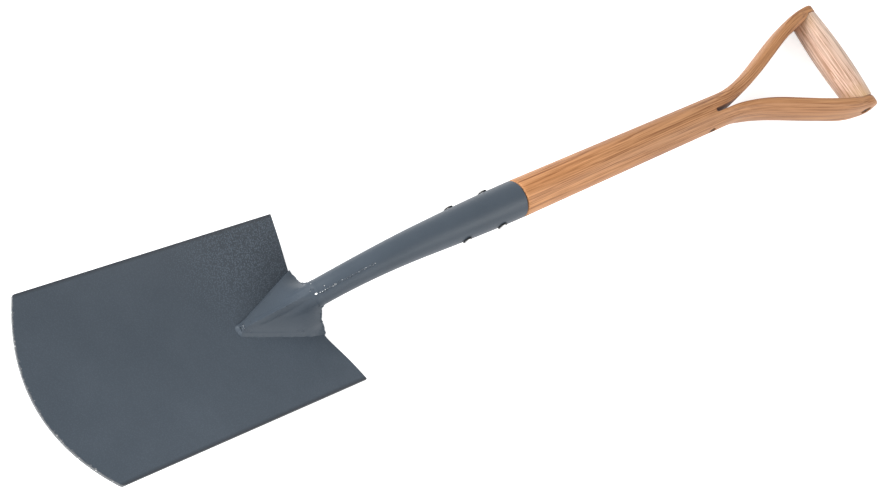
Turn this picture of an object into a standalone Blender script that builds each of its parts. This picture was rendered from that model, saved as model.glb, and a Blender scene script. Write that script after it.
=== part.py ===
"""Digging spade: a dished steel blade, a pressed lug and a rolled socket welded together, and an ash shaft
riveted into the socket, split into two bent arms that hold a turned grip.

Every piece is modelled in the blade's own frame: X across the blade, +Y from the cutting edge up to the grip,
+Z out of the dished front face, with Y = 0 on the line through the two corners of the cutting edge.
Places along the straight shaft are given as a distance from the blade's shoulder, measured along the shaft.
At the end one empty lays the whole spade on its back, on the heel of the blade and the ends of the arms.
"""

import bmesh
import bpy
import numpy as np
from math import acos, asin, atan, cos, pi, radians, sin
from mathutils import Matrix, Vector

MM = 0.001

# Fits
SEAT_GAP = 0.3 * MM  # left between pieces that touch on the real spade
RIVET_CLEARANCE = 0.3 * MM  # all round a rivet in its hole
CUT_PAST = 6 * MM  # how far a cutter runs on past what it cuts
CUTTER_TURN = radians(4)  # keeps a cutter's corners off the corners of what it cuts

# Blade
BLADE_LENGTH = 290 * MM  # corner of the cutting edge to shoulder
SHOULDER_WIDTH = 189 * MM
TIP_WIDTH = 195.5 * MM
SHEET = 2.2 * MM  # blade thickness
SHOULDER_DISH = 22.6 * MM  # how far the corners stand above the middle, at the shoulder
TIP_DISH = 14 * MM  # the same at the cutting edge
EDGE_BOW = 26 * MM  # how far the cutting edge bows out past its corners
BLADE_COLUMNS = 32
BLADE_ROWS = 5

# Line of the shaft
SHAFT_HEIGHT = 55.2 * MM  # its axis above the middle of the shoulder
SHAFT_RISE = radians(11.7)  # its slope against the blade

# Socket and neck
SOCKET_TOP = 230 * MM
SOCKET_RADIUS = 20 * MM  # outside, at the top
NECK_RADIUS = 14 * MM  # outside, at the lug
SOCKET_WALL = 2 * MM
NECK_BEND_START = 110 * MM
NECK_BEND_RADIUS = 310 * MM
NECK_BEND_ANGLE = radians(22.9)
NECK_BEND_STEPS = 14
SOCKET_SIDES = 32

# Lug
LUG_LENGTH = 86 * MM  # shoulder down to the lug's point
LUG_HALF_WIDTH = 38.5 * MM  # at the shoulder
LUG_POINT_HALF_WIDTH = 4.5 * MM
LUG_SHEET = 2 * MM
LUG_SEAT = 2.42 * MM  # outer face of its edge over the blade: its sheet, a clearance and its lean
RIDGE_POINT_RADIUS = 3.4 * MM
RIDGE_POINT_HEIGHT = 0.8 * MM
RIDGE_SWELL = 1.6  # how late the ridge widens towards the neck
RIB_HALF_WIDTH = 4.4 * MM
RIB_POINT_SHARE = 0.32  # of its width, at the lug's point
RIB_HEIGHT = 1.5 * MM
RIB_RISE_BY = 0.3  # share of the lug's length, from the point, in which the rib rises
RIB_FADES_FROM = 0.75  # it then sinks into the saddle before the neck
RIB_ROUNDNESS = 0.62
TENT_HOLLOW = 1.75  # 1 is a flat flank, more is a hollow one
SADDLE_FROM = 0.45  # share of the lug's length where the tent starts to turn into the saddle
NECK_ARC = radians(100)  # half arc of the lug's saddle at the neck
NECK_ARC_SHARE = 0.4  # of a flank's columns, spent on that arc
FLANGE_SLOPE = 0.12  # how the flange lies to the dish at its edge
FLANGE_BEND_OUT = 0.06  # where the saddle bends out into the flange: share of the way across
FLANGE_BEND_DOWN = 0.95  # and along
LUG_STATIONS = 16
RIB_COLUMNS = 3
FLANK_COLUMNS = 12

# Welds
LUG_WELD_LEG = 2.6 * MM
LUG_WELD_GAP = 0.8 * MM  # clears the back edge of the lug's sheet, which leans out past its front edge
LUG_WELD_CREST = (0.6, 0.62)  # highest point of its section, in legs
LUG_WELD_BACK = 0.85  # height of its section against the lug
SHOULDER_WELD_RADIUS = 1.7 * MM
SHOULDER_WELD_FROM = 0.46  # share of a flank where the bead starts, just clear of the neck
SHOULDER_WELD_STEPS = 14
NECK_WELD_RADIUS = 1.3 * MM
NECK_WELD_SHARE = 0.92  # of the saddle's arc
SEAM_WELD_RADIUS = 0.76 * MM
SEAM_WELD_START = 8 * MM  # above the neck's end, clear of the bead round the neck
SEAM_WELD_LENGTH = 48 * MM
SEAM_WELD_AROUND = radians(22)  # how far round from the front of the neck
WELD_END = 0.6  # share of its radius that a bead has at its two ends
WELD_WAVES = ((0.12, 7 * MM), (0.06, 3.1 * MM))  # uneven run of a hand-laid bead: share of its size, pitch

# Socket rivets
LOWER_RIVET_AT = 154 * MM
UPPER_RIVET_AT = 199 * MM
RIVET_RADIUS = 2.6 * MM
RIVET_HEAD_RADIUS = 4.6 * MM
RIVET_HEAD_HEIGHT = 2.4 * MM

# Shaft
TENON_END = 122 * MM  # lower end of the shaft, inside the socket
STEM_RADIUS = 20.1 * MM  # just above the socket
FORK_RADIUS = 18.5 * MM  # where the shaft is split
FORK_AT = 510 * MM
SHAFT_SIDES = 32

# Arms
ARM_HALF_THICKNESS = 8 * MM
ARM_INNER_AT_FORK = 6.2 * MM  # the inner side is cut back where the arms part
ARM_INNER_FULL_FROM = 45 * MM  # above the fork, where that side starts to fill out
ARM_INNER_FULL_IN = 60 * MM
ARM_END_HALF_THICKNESS = 7.2 * MM  # the arms are shaved a little thinner towards the grip
ARM_HALF_DEPTH = 18.8 * MM  # a little more than the grip, so that the spade lies on its arms
ARM_SPREAD = 63.5 * MM  # middle of an arm from the spade's centre plane, at the grip
ARM_START_OFFSET = 9.3 * MM  # middle of an arm from the centre plane, at the fork
ARM_BEND_START = 528 * MM
ARM_BEND_LENGTH = 200 * MM
ARM_SHAPED_BY = 50 * MM  # length in which the half-round section turns into the arm's own
CROTCH_RADIUS = 3.1 * MM  # round bottom of the split
CROTCH_STEPS = 4
ARM_END_ROUND = 1.8 * MM  # how much the sides of an arm's end are rounded over
ARM_STATIONS = 18
ARM_END_STEPS = 8
ARM_END_RADIUS = 16.2 * MM  # an arm ends in a half round about the grip, flush with it
ARM_END_SWEEP = radians(78)  # with a flat left at its tip
ARM_FLUSH_IN = 24 * MM  # length in which its depth comes down to that
OUTER_ROUNDNESS = 2.4  # exponent of the arm's outer side: 2 is an ellipse, more is squarer
OUTER_END_ROUNDNESS = 3.4  # the same beside the grip
INNER_ROUNDNESS = 6
INNER_END_ROUNDNESS = 3.2
ARM_ROUNDED_IN = 60 * MM  # length before the grip in which the roundness changes

# Grip
GRIP_AT = 717.5 * MM
GRIP_RADIUS = 18.4 * MM  # at its middle
GRIP_END_RADIUS = 16 * MM
GRIP_TENON_RADIUS = 8 * MM
GRIP_TENON_LENGTH = 5 * MM
GRIP_END_ROUND = 0.8 * MM
GRIP_LET_IN = 2.2 * MM  # depth of the barrel's own seat in an arm's inner face
GRIP_SEAT_CLEARANCE = 0.7 * MM  # round the barrel's end, which swells as it leaves its seat

# Grip rod and its sunk washers
ROD_RADIUS = 2.5 * MM
ROD_HEAD_RADIUS = 4.2 * MM
ROD_HEAD_HEIGHT = 1.4 * MM
ROD_WASHER_RADIUS = 7 * MM
ROD_SINK = 3.6 * MM  # depth of the washer's seat under the arm's outer side

# Fork rivet and its sunk washers
FORK_RIVET_BELOW_FORK = 7 * MM
FORK_RIVET_RADIUS = 2 * MM
FORK_RIVET_HEAD_RADIUS = 3.4 * MM
FORK_RIVET_HEAD_HEIGHT = 1.2 * MM
FORK_WASHER_RADIUS = 5 * MM
FORK_RIVET_SINK = 3.6 * MM

WASHER_THICKNESS = 1.2 * MM
TURNED_STEPS = 28

# Colours
STEEL_PAINT = (0.098, 0.117, 0.140, 1)
BARE_STEEL = (0.56, 0.57, 0.58, 1)
ASH = (0.56, 0.31, 0.15, 1)
PALE_ASH = (0.72, 0.50, 0.34, 1)


def clear_scene():
    for obj in list(bpy.data.objects):
        bpy.data.objects.remove(obj, do_unlink=True)


def new_collection(name):
    collection = bpy.data.collections.new(name)
    bpy.context.scene.collection.children.link(collection)
    return collection


def new_material(name, color, roughness, metallic):
    material = bpy.data.materials.new(name)
    material.use_nodes = True
    shader = material.node_tree.nodes["Principled BSDF"]
    shader.inputs["Base Color"].default_value = color
    shader.inputs["Roughness"].default_value = roughness
    shader.inputs["Metallic"].default_value = metallic
    material.diffuse_color = color
    return material


clear_scene()
SPADE = new_collection("digging_spade")
CUTTERS = new_collection("cutters")
CUTTERS.hide_render = True


def ease(t):
    """A smooth step from 0 to 1."""
    t = min(max(t, 0), 1)
    return t * t * (3 - 2 * t)


def mix(start, end, t):
    return start + (end - start) * t


def add_object(name, mesh, material=None, smooth_angle=radians(35)):
    obj = bpy.data.objects.new(name, mesh)
    SPADE.objects.link(obj)
    if material:
        mesh.materials.clear()
        mesh.materials.append(material)
    mesh.shade_smooth()
    mesh.set_sharp_from_angle(angle=smooth_angle)
    return obj


def add_cutter(name, mesh):
    obj = bpy.data.objects.new(name, mesh)
    CUTTERS.objects.link(obj)
    obj.hide_render = True
    obj.display_type = "WIRE"
    return obj


def as_plain_mesh(obj):
    """The object's evaluated shape as a mesh of its own. The object is removed."""
    bpy.context.view_layer.update()
    evaluated = obj.evaluated_get(bpy.context.evaluated_depsgraph_get())
    mesh = bpy.data.meshes.new_from_object(evaluated)
    bpy.data.objects.remove(obj, do_unlink=True)
    return mesh


def tidy_mesh(mesh):
    """Welds what meets and turns the faces outwards."""
    work = bmesh.new()
    work.from_mesh(mesh)
    bmesh.ops.remove_doubles(work, verts=work.verts, dist=1e-6)
    bmesh.ops.recalc_face_normals(work, faces=work.faces)
    work.to_mesh(mesh)
    work.free()
    return mesh


def cut(obj, cutter):
    modifier = obj.modifiers.new("cut", "BOOLEAN")
    modifier.operation = "DIFFERENCE"
    modifier.object = cutter


# Places along the shaft


def along_shaft(distance, across=0.0, height=0.0):
    """A point by its distance along the shaft, its place across the spade and its height over the axis."""
    y = BLADE_LENGTH + distance * cos(SHAFT_RISE) - height * sin(SHAFT_RISE)
    z = SHAFT_HEIGHT + distance * sin(SHAFT_RISE) + height * cos(SHAFT_RISE)
    return Vector((across, y, z))


def neck_point(angle):
    """The middle of the neck, at this much of its bend."""
    distance = NECK_BEND_START - NECK_BEND_RADIUS * sin(angle)
    return along_shaft(distance, 0, -NECK_BEND_RADIUS * (1 - cos(angle)))


NECK_END = neck_point(NECK_BEND_ANGLE)
NECK_END_SLOPE = SHAFT_RISE + NECK_BEND_ANGLE
NECK_DIRECTION = Vector((0, cos(NECK_END_SLOPE), sin(NECK_END_SLOPE)))


def socket_radius(distance):
    """Outer radius of the socket, from the neck's end up to the socket's top."""
    lowest = NECK_BEND_START - NECK_BEND_RADIUS * NECK_BEND_ANGLE
    return mix(NECK_RADIUS, SOCKET_RADIUS, ease((distance - lowest) / (SOCKET_TOP - lowest)))


def across_matrix(distance, side=1):
    """Places a turned piece, whose axis is Z, across the shaft, pointing to one side."""
    turn = Matrix.Rotation(side * pi / 2, 4, "Y")
    lean = Matrix.Rotation(SHAFT_RISE, 4, "X")
    return Matrix.Translation(along_shaft(distance)) @ lean @ turn


# Lofted and turned shapes


def skin_rings(work, rings, closed):
    """Faces between rows of vertices of the same count."""
    for lower, upper in zip(rings, rings[1:]):
        count = len(lower)
        for i in range(count if closed else count - 1):
            j = (i + 1) % count
            work.faces.new((lower[i], lower[j], upper[j], upper[i]))


def lofted_solid(name, rings):
    """A closed body through rings of points, with a flat face at each end."""
    work = bmesh.new()
    rows = [[work.verts.new(point) for point in ring] for ring in rings]
    skin_rings(work, rows, closed=True)
    work.faces.new(reversed(rows[0]))
    work.faces.new(rows[-1])
    bmesh.ops.recalc_face_normals(work, faces=work.faces)
    mesh = bpy.data.meshes.new(name)
    work.to_mesh(mesh)
    work.free()
    return mesh


def turned_mesh(name, profile, closed=False):
    """A profile of (radius, height) points turned about Z. A closed profile makes a ring."""
    mesh = bpy.data.meshes.new(name)
    points = [(radius, 0, height) for radius, height in profile]
    edges = [(i, i + 1) for i in range(len(points) - 1)]
    if closed:
        edges.append((len(points) - 1, 0))
    mesh.from_pydata(points, edges, [])
    obj = bpy.data.objects.new(name, mesh)
    SPADE.objects.link(obj)
    screw = obj.modifiers.new("turn", "SCREW")
    screw.steps = TURNED_STEPS
    screw.render_steps = TURNED_STEPS
    screw.use_merge_vertices = True
    screw.merge_threshold = 0.00001
    return tidy_mesh(as_plain_mesh(obj))


def tube_mesh(name, points, radii, sides, caps=True):
    """A round bar through points, with its own radius at each. Without caps it is an open tube."""
    curve = bpy.data.curves.new(name, "CURVE")
    curve.dimensions = "3D"
    curve.bevel_depth = 1
    curve.bevel_resolution = (sides - 4) // 2
    curve.use_fill_caps = caps
    spline = curve.splines.new("POLY")
    spline.points.add(len(points) - 1)
    for target, point, radius in zip(spline.points, points, radii):
        target.co = (*point, 1)
        target.radius = radius
    obj = bpy.data.objects.new(name, curve)
    SPADE.objects.link(obj)
    return tidy_mesh(as_plain_mesh(obj))


def cross_cutter(name, distance, steps):
    """A stepped round cutter right across the shaft. Each step is a radius and how far out it goes."""
    half = []
    start = 0
    for radius, end in steps:
        half += [(radius, start), (radius, end)]
        start = end
    half = half[1:] + [(0, start)]
    profile = [(radius, -height) for radius, height in reversed(half)] + half
    cutter = add_cutter(name, turned_mesh(name, profile))
    cutter.matrix_world = across_matrix(distance) @ Matrix.Rotation(CUTTER_TURN, 4, "Z")
    return cutter


# Blade


def half_width_at(y):
    return mix(TIP_WIDTH, SHOULDER_WIDTH, y / BLADE_LENGTH) / 2


def dish_height(x, y):
    """The front face of the blade: a trough that deepens towards the shoulder."""
    depth = mix(TIP_DISH, SHOULDER_DISH, y / BLADE_LENGTH)
    return depth * (x / half_width_at(y)) ** 2


def make_blade(material):
    """The front face as a sheet, thickened backwards and sheared square at the shoulder."""
    spare = 4 * MM
    work = bmesh.new()
    bmesh.ops.create_grid(work, x_segments=BLADE_COLUMNS, y_segments=BLADE_ROWS, size=1)
    for vertex in work.verts:
        side, row = vertex.co.x, (vertex.co.y + 1) / 2
        y = mix(-EDGE_BOW * (1 - side * side), BLADE_LENGTH + spare, row)
        x = side * half_width_at(y)
        vertex.co = (x, y, dish_height(x, y))
    mesh = bpy.data.meshes.new("blade")
    work.to_mesh(mesh)
    work.free()
    sheet = bpy.data.objects.new("blade_sheet", mesh)
    SPADE.objects.link(sheet)
    solidify = sheet.modifiers.new("thickness", "SOLIDIFY")
    solidify.thickness = SHEET
    solidify.offset = -1
    mesh = as_plain_mesh(sheet)
    work = bmesh.new()
    work.from_mesh(mesh)
    geometry = work.verts[:] + work.edges[:] + work.faces[:]
    shoulder = (0, BLADE_LENGTH, 0)
    bmesh.ops.bisect_plane(work, geom=geometry, plane_co=shoulder, plane_no=(0, 1, 0), clear_outer=True)
    open_edges = [edge for edge in work.edges if edge.is_boundary]
    bmesh.ops.holes_fill(work, edges=open_edges, sides=0)
    bmesh.ops.recalc_face_normals(work, faces=work.faces)
    work.to_mesh(mesh)
    work.free()
    return add_object("blade", mesh, material)


# Lug


def lug_half_width(t):
    return mix(LUG_POINT_HALF_WIDTH, LUG_HALF_WIDTH, t)


def lug_edge(t):
    """A point of the lug's edge, on its outer face. t runs from its point to the neck."""
    x = lug_half_width(t)
    y = BLADE_LENGTH - LUG_LENGTH * (1 - t)
    return Vector((x, y, dish_height(x, y) + LUG_SEAT))


def lug_spine(t):
    """The middle of the ridge, its radius and the direction that it faces."""
    point_centre = Vector((0, lug_edge(0).y + RIDGE_POINT_RADIUS, RIDGE_POINT_HEIGHT))
    neck_centre = NECK_END - NECK_DIRECTION * SEAT_GAP
    radius = mix(RIDGE_POINT_RADIUS, NECK_RADIUS, t**RIDGE_SWELL)
    lean = NECK_END_SLOPE * t * t
    return point_centre.lerp(neck_centre, t), radius, Vector((0, -sin(lean), cos(lean)))


def rib_height(t):
    return RIB_HEIGHT * ease(t / RIB_RISE_BY) * (1 - ease((t - RIB_FADES_FROM) / (1 - RIB_FADES_FROM)))


def tent_point(t, x):
    """The section near the point: a tent with hollow flanks, from the rib down to the edge."""
    middle, radius, out = lug_spine(t)
    top = middle + out * (radius - rib_height(t))
    edge = lug_edge(t)
    share = 1 - (1 - min(1, x / edge.x)) ** TENT_HOLLOW
    return Vector((x, mix(top.y, edge.y, share), mix(top.z, edge.z, share)))


def saddle_point(t, angle, down):
    """The section at the neck: round the tube up to its widest, then down a hollow curve to the flange."""
    middle, radius, out = lug_spine(t)
    arc = middle + Vector((radius * sin(angle), 0, 0)) + out * radius * cos(angle)
    edge = lug_edge(t)
    bend_x = mix(arc.x, edge.x, FLANGE_BEND_OUT)
    bend_z = edge.z - FLANGE_SLOPE * (edge.x - bend_x)
    bend = Vector((bend_x, mix(arc.y, edge.y, FLANGE_BEND_DOWN), bend_z))
    return arc.lerp(bend, down).lerp(bend.lerp(edge, down), down)


def rib_point(t, share):
    """A point on the rib. The share runs from 0 on its top to 1 in the crease beside it."""
    _, radius, out = lug_spine(t)
    rib = RIB_HALF_WIDTH * mix(RIB_POINT_SHARE, 1, ease(t / RIB_RISE_BY))
    saddle = saddle_point(t, asin(rib * share / radius), 0)
    point = tent_point(t, rib * share).lerp(saddle, ease((t - SADDLE_FROM) / (1 - SADDLE_FROM)))
    return point + out * rib_height(t) * (1 - share * share) ** RIB_ROUNDNESS


def flank_point(t, share):
    """A point on a flank. The share runs from 0 in the crease beside the rib to 1 at the lug's edge."""
    _, radius, _ = lug_spine(t)
    rib = RIB_HALF_WIDTH * mix(RIB_POINT_SHARE, 1, ease(t / RIB_RISE_BY))
    angle = mix(asin(rib / radius), NECK_ARC, min(1, share / NECK_ARC_SHARE))
    down = max(0, (share - NECK_ARC_SHARE) / (1 - NECK_ARC_SHARE))
    saddle = saddle_point(t, angle, down)
    tent = tent_point(t, mix(rib, lug_half_width(t), share))
    return tent.lerp(saddle, ease((t - SADDLE_FROM) / (1 - SADDLE_FROM)))


def lug_section(t):
    """Half of the lug's outer surface, from the top of its rib out to its edge."""
    points = [rib_point(t, column / RIB_COLUMNS) for column in range(RIB_COLUMNS)]
    return points + [flank_point(t, column / FLANK_COLUMNS) for column in range(FLANK_COLUMNS + 1)]


def make_lug(material):
    """A pressed sheet: a saddle round the neck that runs down the blade to a point, with a rib on top."""
    work = bmesh.new()
    rows = []
    for station in range(LUG_STATIONS + 1):
        half = lug_section(station / LUG_STATIONS)
        left = [Vector((-point.x, point.y, point.z)) for point in reversed(half[1:])]
        rows.append([work.verts.new(point) for point in left + half])
    skin_rings(work, rows, closed=False)
    mesh = bpy.data.meshes.new("lug")
    work.to_mesh(mesh)
    work.free()
    sheet = bpy.data.objects.new("lug_sheet", mesh)
    SPADE.objects.link(sheet)
    solidify = sheet.modifiers.new("thickness", "SOLIDIFY")
    solidify.thickness = LUG_SHEET
    solidify.offset = -1
    return add_object("lug", tidy_mesh(as_plain_mesh(sheet)), material)


# Socket


def make_socket(material):
    """A tapered tube, rolled from sheet, that bends at the neck. Its rivet holes are cut later."""
    points = []
    radii = []
    for step in range(NECK_BEND_STEPS + 1):
        angle = NECK_BEND_ANGLE * (1 - step / NECK_BEND_STEPS)
        points.append(neck_point(angle))
        radii.append(socket_radius(NECK_BEND_START - NECK_BEND_RADIUS * angle))
    straight_steps = 8
    for step in range(1, straight_steps + 1):
        distance = mix(NECK_BEND_START, SOCKET_TOP, step / straight_steps)
        points.append(along_shaft(distance))
        radii.append(socket_radius(distance))
    socket = add_object("socket", tube_mesh("socket", points, radii, SOCKET_SIDES, caps=False), material)
    wall = socket.modifiers.new("wall", "SOLIDIFY")
    wall.thickness = SOCKET_WALL
    wall.offset = -1
    return socket


# Welds


def weld_wobble(place):
    """The uneven height of a hand-laid bead, as a factor round 1."""
    return 1 + sum(share * sin(place * 2 * pi / pitch) for share, pitch in WELD_WAVES)


def bead_end(step, steps):
    """How much of its radius a bead has at a step: less at its very ends."""
    return WELD_END if step in (0, steps) else 1


def lug_weld_places():
    """Places on the right half of the lug's edge, from its point to the shoulder, each with its way out."""
    steps = 16
    along_edge = Vector((LUG_HALF_WIDTH - LUG_POINT_HALF_WIDTH, LUG_LENGTH, 0)).normalized()
    outward = Vector((along_edge.y, -along_edge.x, 0))
    corner = Vector((LUG_POINT_HALF_WIDTH, lug_edge(0).y, 0))
    downward = Vector((0, -1, 0))
    places = [(Vector((LUG_POINT_HALF_WIDTH / 2, corner.y, 0)), downward), (corner, downward)]
    places.append((corner, (downward + outward).normalized()))
    for step in range(steps + 1):
        t = step / steps
        places.append((Vector((lug_half_width(t), lug_edge(t).y, 0)), outward))
    return places


def make_lug_weld(material):
    """A fillet along the lug's edge on the blade, from one shoulder round the point to the other."""
    right = []
    for place, outward in lug_weld_places():
        leg = LUG_WELD_LEG * weld_wobble(place.y)
        crest_out, crest_up = LUG_WELD_CREST
        section = ((0, 0), (leg, 0), (crest_out * leg, crest_up * leg), (0, LUG_WELD_BACK * leg))
        ring = []
        for out, up in section:
            point = place + outward * (LUG_WELD_GAP + out)
            ring.append(Vector((point.x, point.y, dish_height(point.x, point.y) + SEAT_GAP + up)))
        right.append(ring)
    left = [[Vector((-point.x, point.y, point.z)) for point in ring] for ring in reversed(right)]
    return add_object("lug_weld", lofted_solid("lug_weld", left + right), material)


def shoulder_weld_path():
    """Middle line of the bead on the shoulder: clear of the lug's top edge, in line with its sheet."""
    just_below = 0.02  # share of the lug's length, to find which way its sheet runs at that edge
    clear = 2 * SEAT_GAP + SHOULDER_WELD_RADIUS
    path = []
    for step in range(SHOULDER_WELD_STEPS + 1):
        share = mix(SHOULDER_WELD_FROM, 1, step / SHOULDER_WELD_STEPS)
        edge = flank_point(1, share)
        ahead = (edge - flank_point(1 - just_below, share)).normalized()
        inwards = (flank_point(1, share - just_below) - edge).normalized()
        path.append(edge + ahead * clear - ahead.cross(inwards) * LUG_SHEET / 2)
    return path


def make_shoulder_weld(side, name, material):
    """A lumpy bead that joins the lug's top edge to the blade's shoulder."""
    path = shoulder_weld_path()
    places = [Vector((side * p.x, p.y, p.z)) for p in path]
    steps = len(path) - 1
    radii = [SHOULDER_WELD_RADIUS * weld_wobble(p.x) * bead_end(i, steps) for i, p in enumerate(path)]
    return add_object(name, tube_mesh(name, places, radii, 10), material)


def make_neck_weld(material):
    """A low bead round the front of the neck, over the joint between lug and socket."""
    reach = NECK_ARC * NECK_WELD_SHARE
    steps = 24
    out = Vector((0, -sin(NECK_END_SLOPE), cos(NECK_END_SLOPE)))
    ring_radius = NECK_RADIUS + SEAT_GAP + NECK_WELD_RADIUS
    points = []
    radii = []
    for step in range(steps + 1):
        angle = mix(-reach, reach, step / steps)
        points.append(NECK_END + Vector((ring_radius * sin(angle), 0, 0)) + out * ring_radius * cos(angle))
        radii.append(NECK_WELD_RADIUS * bead_end(step, steps))
    return add_object("neck_weld", tube_mesh("neck_weld", points, radii, 10), material)


def make_seam_weld(material):
    """A thin bead up the neck, a little to one side of its front, where the rolled socket's edges meet."""
    steps = 24
    points = []
    radii = []
    for step in range(steps + 1):
        run = SEAM_WELD_START + SEAM_WELD_LENGTH * step / steps
        angle = NECK_BEND_ANGLE - run / NECK_BEND_RADIUS
        lean = SHAFT_RISE + angle
        distance = NECK_BEND_START - NECK_BEND_RADIUS * angle
        height = socket_radius(distance) + SEAT_GAP + SEAM_WELD_RADIUS
        sideways = sin(SEAM_WELD_AROUND)
        forwards = cos(SEAM_WELD_AROUND)
        out = Vector((sideways, -forwards * sin(lean), forwards * cos(lean)))
        points.append(neck_point(angle) + out * height)
        radii.append(SEAM_WELD_RADIUS * weld_wobble(run) * bead_end(step, steps))
    return add_object("seam_weld", tube_mesh("seam_weld", points, radii, 8), material)


# Rivets, rod and washers


def domed_pin(name, half_length, radius, head_radius, head_height):
    """A pin with a dome at both ends. The half length runs from the middle to under a head."""
    sphere = (head_radius**2 + head_height**2) / (2 * head_height)
    reach = asin(head_radius / sphere)
    dome = []
    for step in range(5):
        angle = reach * step / 4
        dome.append((sphere * sin(angle), half_length + head_height - sphere * (1 - cos(angle))))
    upper = [(0, dome[0][1])] + dome[1:] + [(radius, half_length)]
    lower = [(r, -h) for r, h in reversed(upper)]
    return turned_mesh(name, upper + lower)


def washer(name, radius, hole_radius):
    profile = [
        (hole_radius, 0),
        (radius, 0),
        (radius, WASHER_THICKNESS),
        (hole_radius, WASHER_THICKNESS),
    ]
    return turned_mesh(name, profile, closed=True)


def make_socket_rivet(name, distance, socket, shaft, material):
    half_length = socket_radius(distance) + SEAT_GAP
    mesh = domed_pin(name, half_length, RIVET_RADIUS, RIVET_HEAD_RADIUS, RIVET_HEAD_HEIGHT)
    rivet = add_object(name, mesh, material)
    rivet.matrix_world = across_matrix(distance)
    steps = [(RIVET_RADIUS + RIVET_CLEARANCE, SOCKET_RADIUS + CUT_PAST)]
    hole = cross_cutter(name + "_hole", distance, steps)
    cut(socket, hole)
    cut(shaft, hole)
    return rivet


def make_sunk_pin(name, distance, seat, pin, washer_radius, material):
    """A pin across the shaft, with a washer on a sunk seat at both ends."""
    radius, head_radius, head_height = pin
    half_length = seat + 2 * SEAT_GAP + WASHER_THICKNESS
    made = [add_object(name, domed_pin(name, half_length, radius, head_radius, head_height), material)]
    made[0].matrix_world = across_matrix(distance)
    for side, word in ((-1, "left"), (1, "right")):
        ring_mesh = washer(name, washer_radius, radius + RIVET_CLEARANCE)
        ring = add_object(f"{name}_washer_{word}", ring_mesh, material)
        ring.matrix_world = across_matrix(distance, side) @ Matrix.Translation((0, 0, seat + SEAT_GAP))
        made.append(ring)
    return made


# Shaft with its two arms


def tenon_radius(distance):
    return socket_radius(distance) - SOCKET_WALL - SEAT_GAP


def stem_radius(distance):
    return mix(STEM_RADIUS, FORK_RADIUS, (distance - SOCKET_TOP) / (FORK_AT - SOCKET_TOP))


def stem_ring(distance, radius):
    angles = [2 * pi * k / SHAFT_SIDES for k in range(SHAFT_SIDES)]
    return [along_shaft(distance, radius * sin(angle), radius * cos(angle)) for angle in angles]


def arm_middle(distance):
    """How far the middle of an arm is from the spade's centre plane."""
    return mix(ARM_START_OFFSET, ARM_SPREAD, ease((distance - ARM_BEND_START) / ARM_BEND_LENGTH))


def arm_lean(distance):
    step = 1 * MM
    return atan((arm_middle(distance + step) - arm_middle(distance - step)) / (2 * step))


def signed_power(value, exponent):
    return abs(value) ** exponent * (1 if value >= 0 else -1)


def arm_half_thickness(distance):
    return mix(ARM_HALF_THICKNESS, ARM_END_HALF_THICKNESS, (distance - FORK_AT) / (GRIP_AT - FORK_AT))


def arm_inner(distance):
    """From the middle of an arm to its inner face."""
    filled = ease((distance - FORK_AT - ARM_INNER_FULL_FROM) / ARM_INNER_FULL_IN)
    return mix(ARM_INNER_AT_FORK, arm_half_thickness(distance), filled)


def half_of_stem(distance, angle):
    """A point of half of the round stem, cut back from the centre plane by the round bottom of the split."""
    into = min(1, (distance - FORK_AT) / CROTCH_RADIUS)
    parted = CROTCH_RADIUS * sin(acos(1 - into))
    corner = asin(parted / FORK_RADIUS)
    if sin(angle) < 0:
        return along_shaft(distance, parted, FORK_RADIUS * cos(corner) * cos(angle))
    angle = mix(corner, pi - corner, angle / pi)
    return along_shaft(distance, FORK_RADIUS * sin(angle), FORK_RADIUS * cos(angle))


def arm_ring(distance, side, half_depth, inset=0.0):
    """One section of an arm. It starts as half of the round shaft and turns into a flat-sided oval."""
    shaped = ease((distance - FORK_AT) / ARM_SHAPED_BY)
    rounded = ease((distance - GRIP_AT) / ARM_ROUNDED_IN + 1)
    lean = arm_lean(distance)
    ring = []
    for k in range(SHAFT_SIDES):
        angle = 2 * pi * k / SHAFT_SIDES
        if 0 < k < SHAFT_SIDES // 2:
            power = 2 / mix(OUTER_ROUNDNESS, OUTER_END_ROUNDNESS, rounded)
            out = (arm_half_thickness(distance) - inset) * signed_power(sin(angle), power)
        else:
            power = 2 / mix(INNER_ROUNDNESS, INNER_END_ROUNDNESS, rounded)
            out = (arm_inner(distance) - inset) * signed_power(sin(angle), power)
        depth = half_depth * signed_power(cos(angle), power)
        own = along_shaft(distance - out * sin(lean), arm_middle(distance) + out * cos(lean), depth)
        point = half_of_stem(distance, angle).lerp(own, shaped)
        ring.append(Vector((side * point.x, point.y, point.z)))
    return ring


def arm_half_depth(distance):
    return mix(ARM_HALF_DEPTH, ARM_END_RADIUS, ease((distance - GRIP_AT) / ARM_FLUSH_IN + 1))


def arm_stations():
    """Distance, half depth and inset of each of an arm's sections. The end is a half round about the grip."""
    stations = []
    for step in range(1, CROTCH_STEPS + 1):
        distance = FORK_AT + CROTCH_RADIUS * (1 - cos(pi / 2 * step / CROTCH_STEPS))
        stations.append((distance, ARM_HALF_DEPTH, 0.0))
    for step in range(ARM_STATIONS):
        distance = mix(FORK_AT, GRIP_AT, (step + 1) / ARM_STATIONS)
        stations.append((distance, arm_half_depth(distance), 0.0))
    for step in range(1, ARM_END_STEPS + 1):
        angle = ARM_END_SWEEP * step / ARM_END_STEPS
        distance = GRIP_AT + ARM_END_RADIUS * sin(angle)
        inset = ARM_END_ROUND * (1 - cos(pi / 2 * max(0, 2 * step / ARM_END_STEPS - 1)))
        stations.append((distance, ARM_END_RADIUS * cos(angle), inset))
    return stations


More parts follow.
